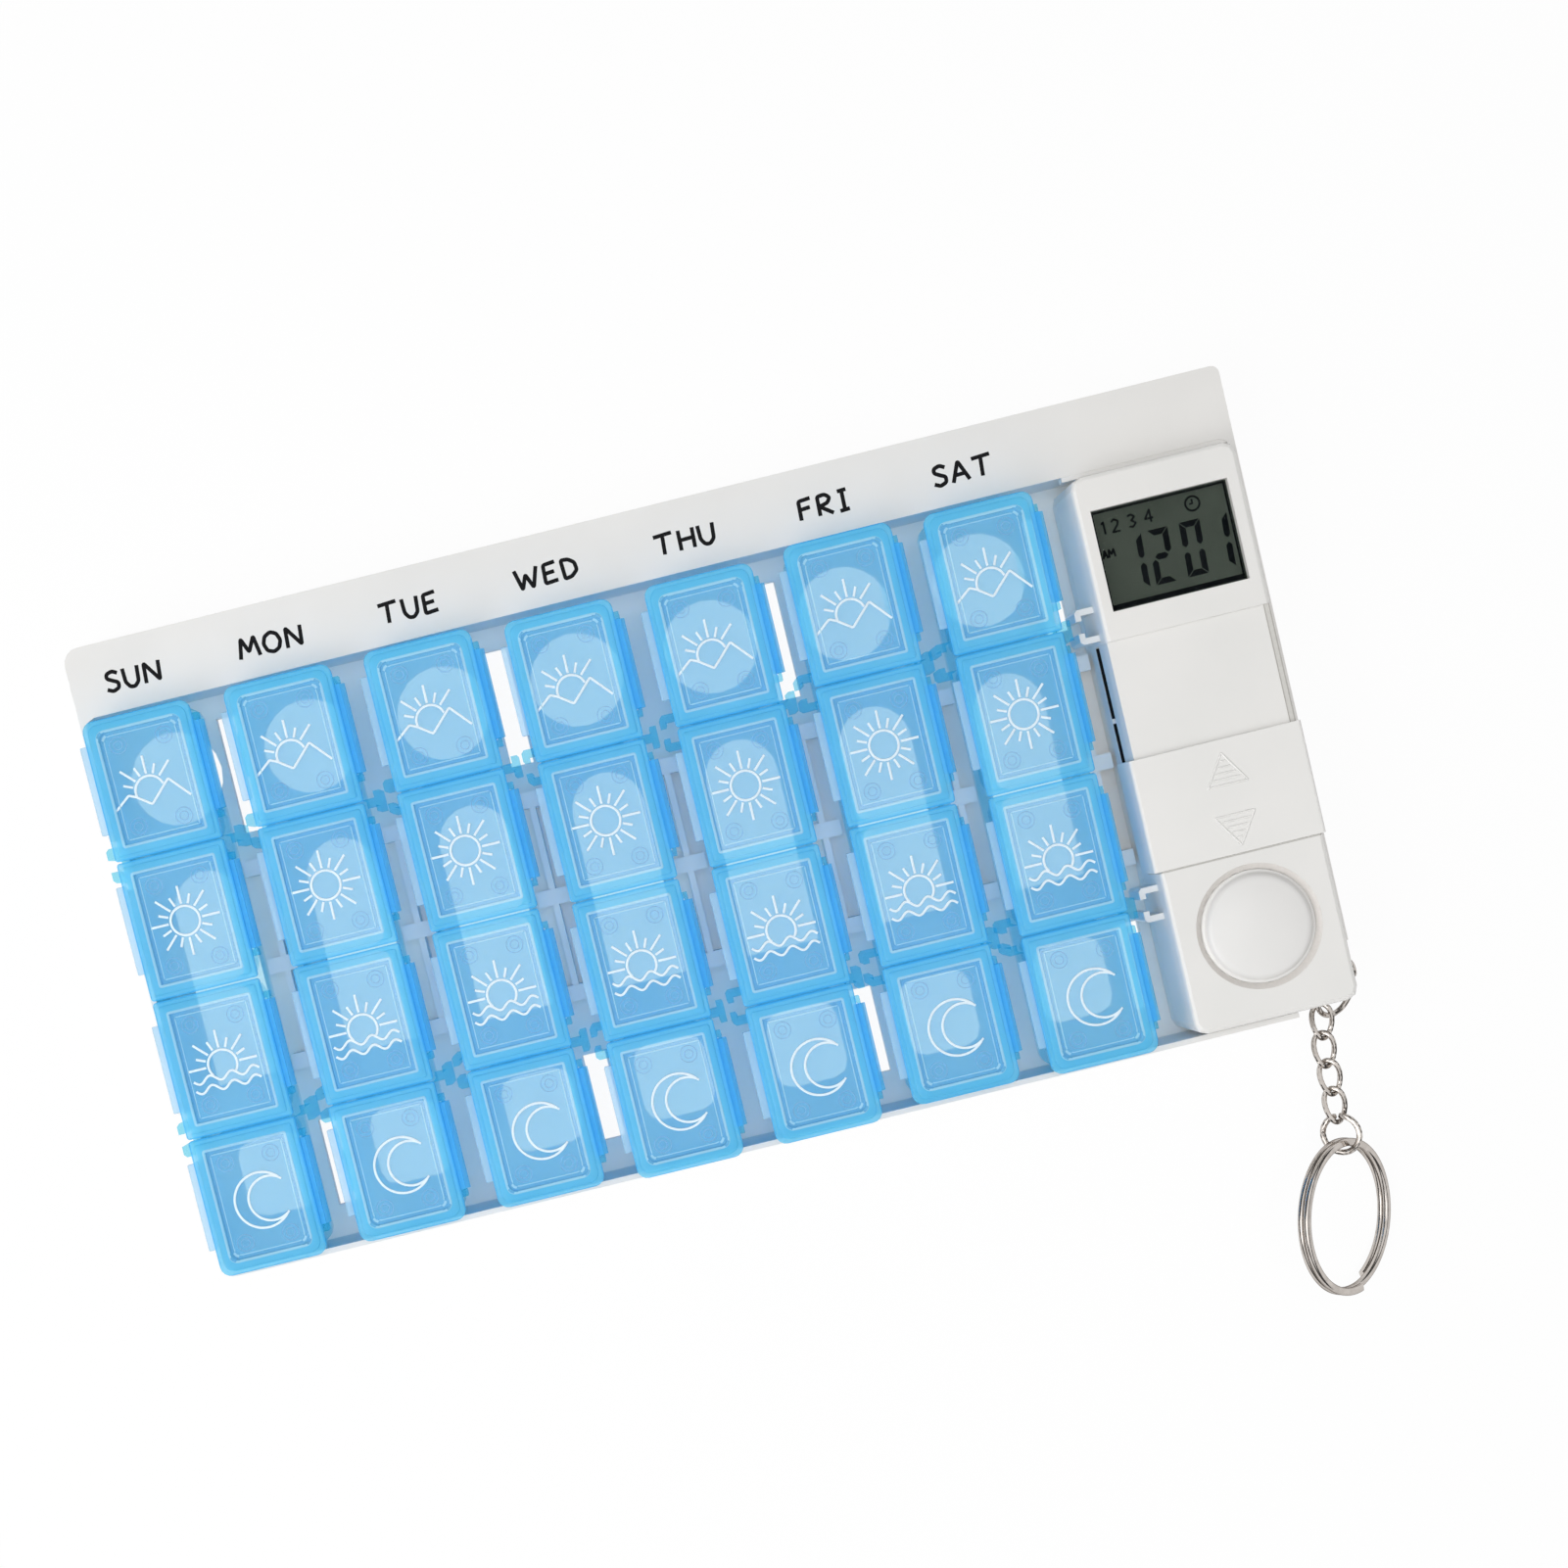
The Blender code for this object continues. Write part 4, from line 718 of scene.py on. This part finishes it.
for day in dayNames:
    for row in range(rowCount):
        node = f"lid_{day}_{row + 1}"
        hinge = Vector(hinges[node + "_open"]["pos_m"])
        mesh = lidKinds[row].copy()
        mesh.transform(Matrix.Translation(hinge))
        lid = addPiece(f"lid.{day}.{row + 1}", mesh, "blueLid", node)
        paintZones(lid, lidSettings, hinge)
        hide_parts(node)
        sign = pictograms[row].copy()
        sign.transform(Matrix.Translation(hinge + panelMiddle))
        addPiece(f"pictogram.{day}.{row + 1}", sign, "whiteInk", node)
print("pill box: lids and pictograms made")

# day names, drawn as strokes in a box one unit high
letterStrokes = {
    "S": [[
        (0.62, 0.86), (0.40, 1.0), (0.12, 0.90), (0.10, 0.68), (0.34, 0.53), (0.58, 0.40), (0.56, 0.13),
        (0.28, 0.0), (0.02, 0.14),
    ]],
    "U": [[(0.02, 1.0), (0.04, 0.30), (0.20, 0.03), (0.42, 0.0), (0.62, 0.22), (0.68, 1.0)]],
    "N": [[(0.02, 0.0), (0.08, 1.0), (0.66, 0.04), (0.74, 1.0)]],
    "M": [[(0.0, 0.0), (0.18, 1.0), (0.44, 0.28), (0.76, 1.0), (0.90, 0.0)]],
    "O": [[
        (0.40, 1.0), (0.12, 0.84), (0.0, 0.48), (0.12, 0.12), (0.40, 0.0), (0.66, 0.14), (0.78, 0.50),
        (0.66, 0.86), (0.40, 1.0),
    ]],
    "T": [[(0.0, 0.94), (0.84, 1.0)], [(0.42, 0.96), (0.36, 0.0)]],
    "E": [[(0.62, 1.0), (0.08, 0.94), (0.04, 0.02), (0.62, 0.08)], [(0.06, 0.50), (0.52, 0.54)]],
    "W": [[(0.0, 1.0), (0.22, 0.0), (0.46, 0.70), (0.72, 0.0), (1.0, 1.0)]],
    "D": [[(0.04, 0.96), (0.08, 0.02), (0.40, 0.08), (0.66, 0.34), (0.62, 0.72), (0.36, 0.94), (0.04, 0.96)]],
    "H": [[(0.06, 1.0), (0.04, 0.0)], [(0.70, 1.0), (0.66, 0.0)], [(0.05, 0.50), (0.68, 0.52)]],
    "F": [[(0.62, 1.0), (0.08, 0.95), (0.05, 0.0)], [(0.07, 0.52), (0.54, 0.56)]],
    "R": [[(0.05, 0.0), (0.08, 0.96), (0.42, 1.0), (0.62, 0.80), (0.48, 0.56), (0.10, 0.46), (0.66, 0.0)]],
    "I": [[(0.10, 0.98), (0.50, 1.0)], [(0.30, 0.99), (0.28, 0.02)], [(0.06, 0.0), (0.50, 0.03)]],
    "A": [[(0.0, 0.0), (0.36, 1.0), (0.74, 0.0)], [(0.14, 0.34), (0.62, 0.36)]],
}
labelSettings = {
    "height": 3.7 * mm,
    "lineWidth": 0.74 * mm,
    "lineHeight": 0.04 * mm,
    "stretch": 1.12,
    "space": 0.27,
    "behind": 7.6 * mm,      # letter middle from the header's outer edge
    "firstColumn": 11.8 * mm,
    "columnPitch": 26.36 * mm,
}


def wordStrokes(word, settings):
    strokes = []
    x = 0
    for letter in word:
        widest = 0
        for points in letterStrokes[letter]:
            placed = [
                ((x + px * settings["stretch"]) * settings["height"], (py - 0.5) * settings["height"])
                for px, py in points
            ]
            strokes.append(softCorners(placed, settings["lineWidth"] / 2))
            widest = max(widest, max(px for px, py in points))
        x += widest * settings["stretch"] + settings["space"]
    middle = (x - settings["space"]) * settings["height"] / 2
    return [[(px - middle, py) for px, py in points] for points in strokes]


trayLow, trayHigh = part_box("tray")
for column, day in enumerate(dayNames):
    strokes = wordStrokes(day.upper(), labelSettings)
    mesh = strokeMesh("label" + day, strokes, labelSettings["lineWidth"], labelSettings["lineHeight"])
    across = trayLow.x + labelSettings["firstColumn"] + column * labelSettings["columnPitch"]
    spot = (across, trayHigh.y - labelSettings["behind"], trayHigh.z)
    mesh.transform(Matrix.Translation(spot))
    addPiece("label." + day, mesh, "blackInkAndShade", "tray")
print("pill box: day names made")

# display: black border, seven-segment time, slot numbers, half-day sign and clock
displaySettings = {
    # the border's wider front strip is painted shade for the window's shaded depth
    "border": {"side": 0.3 * mm, "front": 0.9 * mm, "above": 0.01 * mm, "thick": 0.1 * mm},
    "digitHeight": 10.05 * mm,
    "digitWidth": 3.85 * mm,
    "segment": 1.12 * mm,
    "gap": 0.07 * mm,
    "middleGap": 0.3 * mm,
    "lean": 0.04,
    "height": 0.03 * mm,
    "above": 0.02 * mm,      # clear of the glass
    # signs with their lower left corner, in millimetres, and the small ones with their height
    "digits": (("1", (3.79, 2.57)), ("2", (8.75, 2.57)), ("0", (14.73, 2.57)), ("1", (19.82, 2.57))),
    "signs": (
        ("1", (1.2, 13.8), 2.3), ("2", (3.3, 13.85), 2.3), ("3", (6.4, 13.95), 2.3),
        ("4", (9.5, 14.05), 2.3), ("A", (0.5, 9.5), 1.45), ("M", (1.6, 9.5), 1.45),
    ),
    "signWidth": 0.38 * mm,
    "clock": {"place": (18.5 * mm, 15.5 * mm), "radius": 1.3 * mm, "longShare": 0.62, "shortShare": 0.45},
}
# across and up from the digit's middle
segmentPlaces = {
    "top": (0, 1), "middle": (0, 0), "bottom": (0, -1),
    "upLeft": (-1, 1), "upRight": (1, 1), "lowLeft": (-1, -1), "lowRight": (1, -1),
}
digitSegments = {
    "0": ("top", "bottom", "upLeft", "upRight", "lowLeft", "lowRight"),
    "1": ("upRight", "lowRight"),
    "2": ("top", "upRight", "middle", "lowLeft", "bottom"),
}


def segmentCuts(place, settings):
    # where the ends of a segment are cut off at 45 degrees, and towards which side
    wide, tall, thick = (settings[key] for key in ("digitWidth", "digitHeight", "segment"))
    across, up = segmentPlaces[place]
    if place == "middle":
        return [((side * (wide - thick) / 2, 0), (side, turn)) for side in (-1, 1) for turn in (-1, 1)]
    if across == 0:
        return [((side * wide / 2, up * tall / 2), (side, -up)) for side in (-1, 1)]
    cuts = [((across * wide / 2, up * tall / 2), (-across, up))]
    tip = (across * (wide - thick) / 2, up * settings["middleGap"])
    return cuts + [(tip, (side, -up)) for side in (-1, 1)]


def addSegment(shape, place, settings, at):
    wide, tall, thick = (settings[key] for key in ("digitWidth", "digitHeight", "segment"))
    across, up = segmentPlaces[place]
    size = (wide, thick) if across == 0 else (thick, tall / 2)
    middle = (across * (wide - thick) / 2, up * ((tall - thick) / 2 if across == 0 else tall / 4), 0)
    before = set(shape.faces)
    made = bmesh.ops.create_grid(shape, x_segments=1, y_segments=1, size=0.5)["verts"]
    bmesh.ops.scale(shape, vec=(*size, 1), verts=made)
    bmesh.ops.translate(shape, vec=middle, verts=made)
    for (x, y), side in segmentCuts(place, settings):
        faces = [f for f in shape.faces if f not in before]
        edges = {e for f in faces for e in f.edges}
        verts = {v for f in faces for v in f.verts}
        normal = Vector((*side, 0)).normalized()
        bmesh.ops.bisect_plane(
            shape, geom=[*faces, *edges, *verts], plane_co=Vector((x, y, 0)) - normal * settings["gap"],
            plane_no=normal, clear_outer=True,
        )
    verts = {v for f in shape.faces if f not in before for v in f.verts}
    bmesh.ops.translate(shape, vec=(at[0] + wide / 2, at[1] + tall / 2, 0), verts=list(verts))


def digitsMesh(settings):
    shape = bmesh.new()
    for digit, (x, y) in settings["digits"]:
        for place in digitSegments[digit]:
            addSegment(shape, place, settings, (x * mm, y * mm))
    for v in shape.verts:
        v.co.x += v.co.y * settings["lean"]
    raised = bmesh.ops.extrude_face_region(shape, geom=list(shape.faces))["geom"]
    bmesh.ops.translate(shape, vec=(0, 0, settings["height"]), verts=vertsOf(raised))
    return meshOf("digits", shape, False)


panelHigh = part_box("lcd_panel")[1]
lensLow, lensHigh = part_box("lcd_lens")
displayCorner = Matrix.Translation((lensLow.x, lensLow.y, panelHigh.z + displaySettings["above"]))
timeMesh = digitsMesh(displaySettings)
timeMesh.transform(displayCorner)
addPiece("displayTime", timeMesh, "digitInkAndShade", "timer")

smallStrokes = {
    "1": [[(0.1, 0.8), (0.3, 1.0), (0.3, 0.0)]],
    "2": [[(0.0, 0.8), (0.25, 1.0), (0.55, 0.8), (0.45, 0.5), (0.0, 0.0), (0.6, 0.0)]],
    "3": [[(0.0, 0.9), (0.3, 1.0), (0.55, 0.78), (0.25, 0.53), (0.58, 0.28), (0.3, 0.0), (0.0, 0.1)]],
    "4": [[(0.45, 0.0), (0.45, 1.0), (0.0, 0.32), (0.65, 0.32)]],
    "A": [[(0.0, 0.0), (0.3, 1.0), (0.6, 0.0)], [(0.12, 0.35), (0.48, 0.35)]],
    "M": [[(0.0, 0.0), (0.1, 1.0), (0.4, 0.4), (0.7, 1.0), (0.8, 0.0)]],
}


def signStrokes(settings):
    strokes = []
    for letter, (x, y), height in settings["signs"]:
        for points in smallStrokes[letter]:
            placed = [((x + px * height) * mm, (y + py * height) * mm) for px, py in points]
            strokes.append(softCorners(placed, settings["signWidth"] / 5))
    clock = settings["clock"]
    x, y = clock["place"]
    radius = clock["radius"]
    strokes.append(arcPoints((x, y), radius, 0, 360, 28))
    strokes.append([(x, y + radius * clock["longShare"]), (x, y), (x - radius * clock["shortShare"], y)])
    return strokes


signSize = (displaySettings["signWidth"], displaySettings["height"])
signMesh = strokeMesh("displaySigns", signStrokes(displaySettings), *signSize)
signMesh.transform(displayCorner)
addPiece("displaySigns", signMesh, "digitInkAndShade", "timer")


def borderMesh(border):
    # a thin black frame round the glass; its wider strip along the front is painted shade for the window's
    # shaded depth
    shape = bmesh.new()
    side = border["side"]
    low = panelHigh.z + border["above"]
    left, right, front, back = lensLow.x, lensHigh.x, lensLow.y, lensHigh.y
    for x0, x1, y0, y1 in (
        (left, right, front, front + border["front"]),
        (left, right, back - side, back),
        (left, left + side, front, back),
        (right - side, right, front, back),
    ):
        middle = ((x0 + x1) / 2, (y0 + y1) / 2, low + border["thick"] / 2)
        cleanBlock(shape, (x1 - x0, y1 - y0, border["thick"]), middle)
    return meshOf("displayBorder", shape, False)


addPiece("displayBorder", borderMesh(displaySettings["border"]), "digitInkAndShade", "timer")
print("pill box: display made")

# slide cover: two raised triangles with hatch lines
coverSettings = {
    "width": 7.5 * mm, "height": 5.8 * mm, "round": 0.2 * mm,
    "lines": 4, "tipLines": 1.4, "lineInset": 0.5 * mm, "lineWidth": 0.42 * mm, "lineHeight": 0.16 * mm,
    # from the cover's left front corner, with the way that each triangle points
    "across": 16.7 * mm, "places": ((15.7 * mm, 1), (4.3 * mm, -1)),
}


def triangleStrokes(settings, middle, direction):
    half = settings["width"] / 2
    base = middle[1] - direction * settings["height"] / 2
    tip = middle[1] + direction * settings["height"] / 2
    outline = [(middle[0] - half, base), (middle[0] + half, base), (middle[0], tip), (middle[0] - half, base)]
    strokes = [softCorners(outline, settings["round"])]
    for line in range(1, settings["lines"] + 1):
        share = line / (settings["lines"] + settings["tipLines"])
        y = base + (tip - base) * share
        reach = half * (1 - share) - settings["lineInset"]
        strokes.append([(middle[0] - reach, y), (middle[0] + reach, y)])
    return strokes


coverLow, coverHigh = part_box("slide_cover")
marks = []
for along, direction in coverSettings["places"]:
    middle = (coverLow.x + coverSettings["across"], coverLow.y + along)
    marks += triangleStrokes(coverSettings, middle, direction)
markMesh = strokeMesh("coverMarks", marks, coverSettings["lineWidth"], coverSettings["lineHeight"])
markMesh.transform(Matrix.Translation((0, 0, coverHigh.z)))
addPiece("coverMarks", markMesh, "coverWhite", "slide_cover")
print("pill box: cover marks made")

# thin trims: painted shade along the rail, in the slit beside the cover and in the cover's front joint, and a
# white piece in the header's narrow joint
trimSettings = {
    # across, along and up, each from and to, in millimetres
    # painted shade: a grey band with two darker lines stands for the shaded slideway beside the cover
    "railShadeBand": ((107.0, 107.95), (-27.8, 15.45), (21.8, 21.86), "paintedShadeGrey", "timer"),
    "railShadowLineInner": ((106.82, 107.0), (-27.8, 15.45), (21.8, 21.9), "shadowLineGrey", "timer"),
    "railShadowLineOuter": ((107.72, 107.95), (-27.8, 15.45), (21.8, 21.9), "shadowLineGrey", "timer"),
    # painted shade: black strips stand for the shaded slit under the wall's overhang
    "slitShadeBack": ((77.3, 78.1), (1.9, 15.3), (12.0, 12.18), "blackInkAndShade", "timer"),
    "slitShadeFront": ((77.3, 78.1), (-27.7, 0.95), (12.0, 12.18), "blackInkAndShade", "timer"),
    # painted shade: a grey sheet stands for the shade in the cover's front joint
    "coverJointShade": ((77.7, 107.4), (-27.88, -27.66), (21.8, 22.72), "paintedShadeGrey", "timer"),
    "headerJoint": ((77.4, 109.7), (46.35, 47.25), (13.0, 15.75), "trayWhite", "tray"),
}
for name, (across, along, up, finish, body) in trimSettings.items():
    shape = bmesh.new()
    size = [(high - low) * mm for low, high in (across, along, up)]
    cleanBlock(shape, size, [(high + low) / 2 * mm for low, high in (across, along, up)])
    addPiece(name, meshOf(name, shape, False), finish, body)
print("pill box: trims made")

# big button: a turned dome with a soft shoulder
buttonSettings = {
    "radius": 10.55 * mm, "shoulder": 22.2 * mm,
    # from the rim up to where the shallow dome starts: distance in, height above the shoulder, in millimetres
    "rim": (
        (0, -0.5), (0.06, 0.2), (0.16, 0.34), (0.5, 0.46), (0.66, 0.6), (0.8, 0.96), (1.0, 1.28),
        (1.25, 1.5), (1.55, 1.66),
    ),
    # the seat's section, a thin sheet on the case's slope, darker as painted shade of the recess round the
    # dome
    "seat": ((10.66, 22.08), (11.5, 22.92), (11.62, 23.0), (11.62, 23.03), (11.5, 22.98), (10.64, 22.14)),
    "flange": 1.5 * mm, "shell": 1.2 * mm, "flangeTop": 21.1 * mm, "stem": 2.5 * mm,
    "domeSteps": 12, "steps": 96,
}


def buttonMesh(settings, low, high):
    radius = settings["radius"]
    rim = [(radius - inset * mm, settings["shoulder"] + rise * mm) for inset, rise in settings["rim"]]
    edge, start = rim[-1]
    rise = high.z - start
    bulge = (edge * edge + rise * rise) / (2 * rise)
    reaches = [edge * step / settings["domeSteps"] for step in range(settings["domeSteps"])]
    profile = [(r, high.z - bulge + (bulge * bulge - r * r) ** 0.5) for r in reaches] + rim[::-1]
    top = settings["flangeTop"]
    under = top - settings["shell"]
    profile += [(radius, top), (radius + settings["flange"], top), (radius + settings["flange"], under)]
    profile += [(settings["stem"], under), (settings["stem"], low.z), (0, low.z)]
    shape = bmesh.new()
    turnSection(shape, profile, False, settings["steps"])
    bmesh.ops.remove_doubles(shape, verts=shape.verts, dist=0.001 * mm)
    bmesh.ops.translate(shape, vec=((low.x + high.x) / 2, (low.y + high.y) / 2, 0), verts=shape.verts)
    return meshOf("domeButton", shape)


def seatShadeMesh(settings, low, high):
    # painted shade: the sloping ring round the button is a little darker than the case, standing for the
    # shade in the recess round the dome
    shape = bmesh.new()
    section = [(reach * mm, level * mm) for reach, level in settings["seat"]]
    turnSection(shape, section, True, settings["steps"])
    bmesh.ops.translate(shape, vec=((low.x + high.x) / 2, (low.y + high.y) / 2, 0), verts=shape.verts)
    return meshOf("buttonSeatShade", shape)


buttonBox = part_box("dome_button")
seat = seatShadeMesh(buttonSettings, *buttonBox)
addPiece("buttonSeatShade", seat, "seatShadeGrey", "timer")
dome = buttonMesh(buttonSettings, *buttonBox)
button = addPiece("domeButton", dome, "buttonWhite", "dome_button")
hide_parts("dome_button")
print("pill box: button made")

# split key ring: two flat turns with rounded edges, whose ends show at the lower right
ringSettings = {
    "place": (99.263 * mm, -100.115 * mm, 11.02 * mm),
    "heading": 78.7, "tilt": 42, "start": -150,  # degrees
    "radius": 14.2 * mm, "band": 1.5 * mm, "thick": 1.12 * mm, "round": 0.4 * mm,
    "rise": 1.2 * mm, "turns": 1.95, "steps": 220, "roundSteps": 4, "sharpAngle": 50,
}


def bandOutline(settings):
    # the band's section, a rectangle with round corners
    reach = settings["round"]
    points = []
    for x, y, start in ((1, 1, 0), (-1, 1, 90), (-1, -1, 180), (1, -1, 270)):
        centre = (x * (settings["band"] / 2 - reach), y * (settings["thick"] / 2 - reach))
        points += arcPoints(centre, reach, start, start + 90, settings["roundSteps"])
    return points


def flatCurve(name, points, closed):
    curve = bpy.data.curves.new(name, "CURVE")
    curve.dimensions = "2D" if closed else "3D"
    spline = curve.splines.new("POLY")
    spline.points.add(len(points) - 1)
    spline.use_cyclic_u = closed
    for spot, place in zip(spline.points, points):
        spot.co = (*place, 0, 1) if closed else (*place, 1)
    return curve


def splitRingMesh(settings):
    outline = bpy.data.objects.new("band", flatCurve("band", bandOutline(settings), True))
    points = []
    for step in range(settings["steps"] + 1):
        turn = settings["turns"] * step / settings["steps"]
        angle = radians(settings["start"]) + 2 * pi * turn
        height = settings["rise"] * (turn - settings["turns"] / 2)
        points.append((settings["radius"] * cos(angle), settings["radius"] * sin(angle), height))
    curve = flatCurve("splitRing", points, False)
    curve.twist_mode = "Z_UP"
    curve.bevel_mode = "OBJECT"
    curve.bevel_object = outline
    curve.use_fill_caps = True
    holder = bpy.data.objects.new("splitRing", curve)
    for obj in (outline, holder):
        bpy.context.scene.collection.objects.link(obj)
    graph = bpy.context.evaluated_depsgraph_get()
    mesh = bpy.data.meshes.new_from_object(holder.evaluated_get(graph))
    for obj in (outline, holder):
        bpy.data.objects.remove(obj)
    heading = radians(settings["heading"])
    lean = Matrix.Rotation(radians(settings["tilt"]), 4, Vector((cos(heading), sin(heading), 0)))
    mesh.transform(Matrix.Translation(settings["place"]) @ lean @ Matrix.Rotation(heading, 4, "Z"))
    mesh.shade_smooth()
    mesh.set_sharp_from_angle(angle=radians(settings["sharpAngle"]))
    return mesh


splitRing = addPiece("splitRing", splitRingMesh(ringSettings), "nickel", "split_ring")
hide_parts("split_ring")
print("pill box: split ring made")

# floor, sky and lamps; the fill casts no shadow and stands for light that scatters in the clear plastic
floorSettings = {
    "half": 3, "under": 0.1 * mm, "low": (0.86, 0.86, 0.86), "high": (0.90, 0.90, 0.90), "rough": 0.9,
    "colour": 3, "whiteShare": 0.93,
}
skySettings = {
    "strength": 0.42,
    # what metal sees of the studio, from the horizon up: height and brightness
    "walls": ((0.02, 0.9), (0.06, 0.05), (0.46, 0.08), (0.62, 1.0)),
}
lampSettings = {
    "topLamp": {"place": (0.02, 0.04, 1.1), "size": 0.45, "power": 3.1, "gloss": False},
    "keyLamp": {"place": (-0.62, -0.16, 0.68), "size": 0.7, "power": 2.6, "gloss": True},
    "fillLamp": {"place": (-0.5, -0.4, 0.75), "size": 0.7, "power": 2.9, "gloss": False, "shadow": False},
}


def addLamp(name, settings, aim=(0, 0, 0)):
    lamp = bpy.data.lights.new(name, "AREA")
    lamp.shape = "SQUARE"
    lamp.size = settings["size"]
    lamp.energy = settings["power"]
    lamp.use_shadow = settings.get("shadow", True)
    holder = bpy.data.objects.new(name, lamp)
    holder.location = settings["place"]
    holder.rotation_euler = (Vector(aim) - Vector(settings["place"])).to_track_quat("-Z", "Y").to_euler()
    holder.visible_glossy = settings["gloss"]
    bpy.context.scene.collection.objects.link(holder)


def seenRays(tree):
    # 1 where the camera, a gloss or a clear plastic looks at the surface
    path = addNode(tree, "ShaderNodeLightPath")
    first = addNode(tree, "ShaderNodeMath", operation="MAXIMUM")
    second = addNode(tree, "ShaderNodeMath", operation="MAXIMUM")
    tree.links.new(path.outputs["Is Camera Ray"], first.inputs[0])
    tree.links.new(path.outputs["Is Glossy Ray"], first.inputs[1])
    tree.links.new(first.outputs["Value"], second.inputs[0])
    tree.links.new(path.outputs["Is Transmission Ray"], second.inputs[1])
    return second.outputs["Value"]


def addFloor(settings):
    shape = bmesh.new()
    bmesh.ops.create_grid(shape, x_segments=1, y_segments=1, size=settings["half"])
    bmesh.ops.translate(shape, vec=(0, 0, -settings["under"]), verts=shape.verts)
    floor = bpy.data.objects.new("floor", meshOf("floor", shape, False))
    bpy.context.scene.collection.objects.link(floor)
    material, tree, shader = newMaterial("paleFloor")
    colourShader(tree, shader, settings["colour"], settings)
    shader.inputs["Roughness"].default_value = settings["rough"]
    glow = addNode(tree, "ShaderNodeEmission", Strength=1.0)
    glow.inputs["Color"].default_value = (1, 1, 1, 1)
    both = addNode(tree, "ShaderNodeMixShader")
    share = addNode(tree, "ShaderNodeMath", operation="MULTIPLY")
    share.inputs[1].default_value = settings["whiteShare"]
    tree.links.new(seenRays(tree), share.inputs[0])
    tree.links.new(share.outputs["Value"], both.inputs["Fac"])
    tree.links.new(shader.outputs["BSDF"], both.inputs[1])
    tree.links.new(glow.outputs["Emission"], both.inputs[2])
    tree.links.new(both.outputs["Shader"], tree.nodes["Material Output"].inputs["Surface"])
    floor.data.materials.append(material)


def studioWalls(tree, settings):
    where = addNode(tree, "ShaderNodeTexCoord")
    split = addNode(tree, "ShaderNodeSeparateXYZ")
    tree.links.new(where.outputs["Generated"], split.inputs["Vector"])
    (start, first), *between, (end, last) = settings["walls"]
    walls = blendColours(tree, split.outputs["Z"], (first,) * 3, (last,) * 3, start, end)
    for position, shade in between:
        walls.node.color_ramp.elements.new(position).color = (shade, shade, shade, 1)
    return walls


def addWorld(settings):
    world = bpy.data.worlds.new("studio")
    bpy.context.scene.world = world
    world.use_nodes = True
    tree = world.node_tree
    light = tree.nodes["Background"]
    light.inputs["Color"].default_value = (1, 1, 1, 1)
    light.inputs["Strength"].default_value = settings["strength"]
    seen = addNode(tree, "ShaderNodeBackground", Strength=1.0)
    seen.inputs["Color"].default_value = (1, 1, 1, 1)
    both = addNode(tree, "ShaderNodeMixShader")
    tree.links.new(seenRays(tree), both.inputs["Fac"])
    tree.links.new(light.outputs["Background"], both.inputs[1])
    tree.links.new(seen.outputs["Background"], both.inputs[2])
    studio = addNode(tree, "ShaderNodeBackground", Strength=1.0)
    tree.links.new(studioWalls(tree, settings), studio.inputs["Color"])
    path = addNode(tree, "ShaderNodeLightPath")
    whole = addNode(tree, "ShaderNodeMixShader")
    tree.links.new(path.outputs["Is Glossy Ray"], whole.inputs["Fac"])
    tree.links.new(both.outputs["Shader"], whole.inputs[1])
    tree.links.new(studio.outputs["Background"], whole.inputs[2])
    tree.links.new(whole.outputs["Shader"], tree.nodes["World Output"].inputs["Surface"])


addFloor(floorSettings)
addWorld(skySettings)
for name, lamp in lampSettings.items():
    addLamp(name, lamp)
print("pill box: floor and light made")
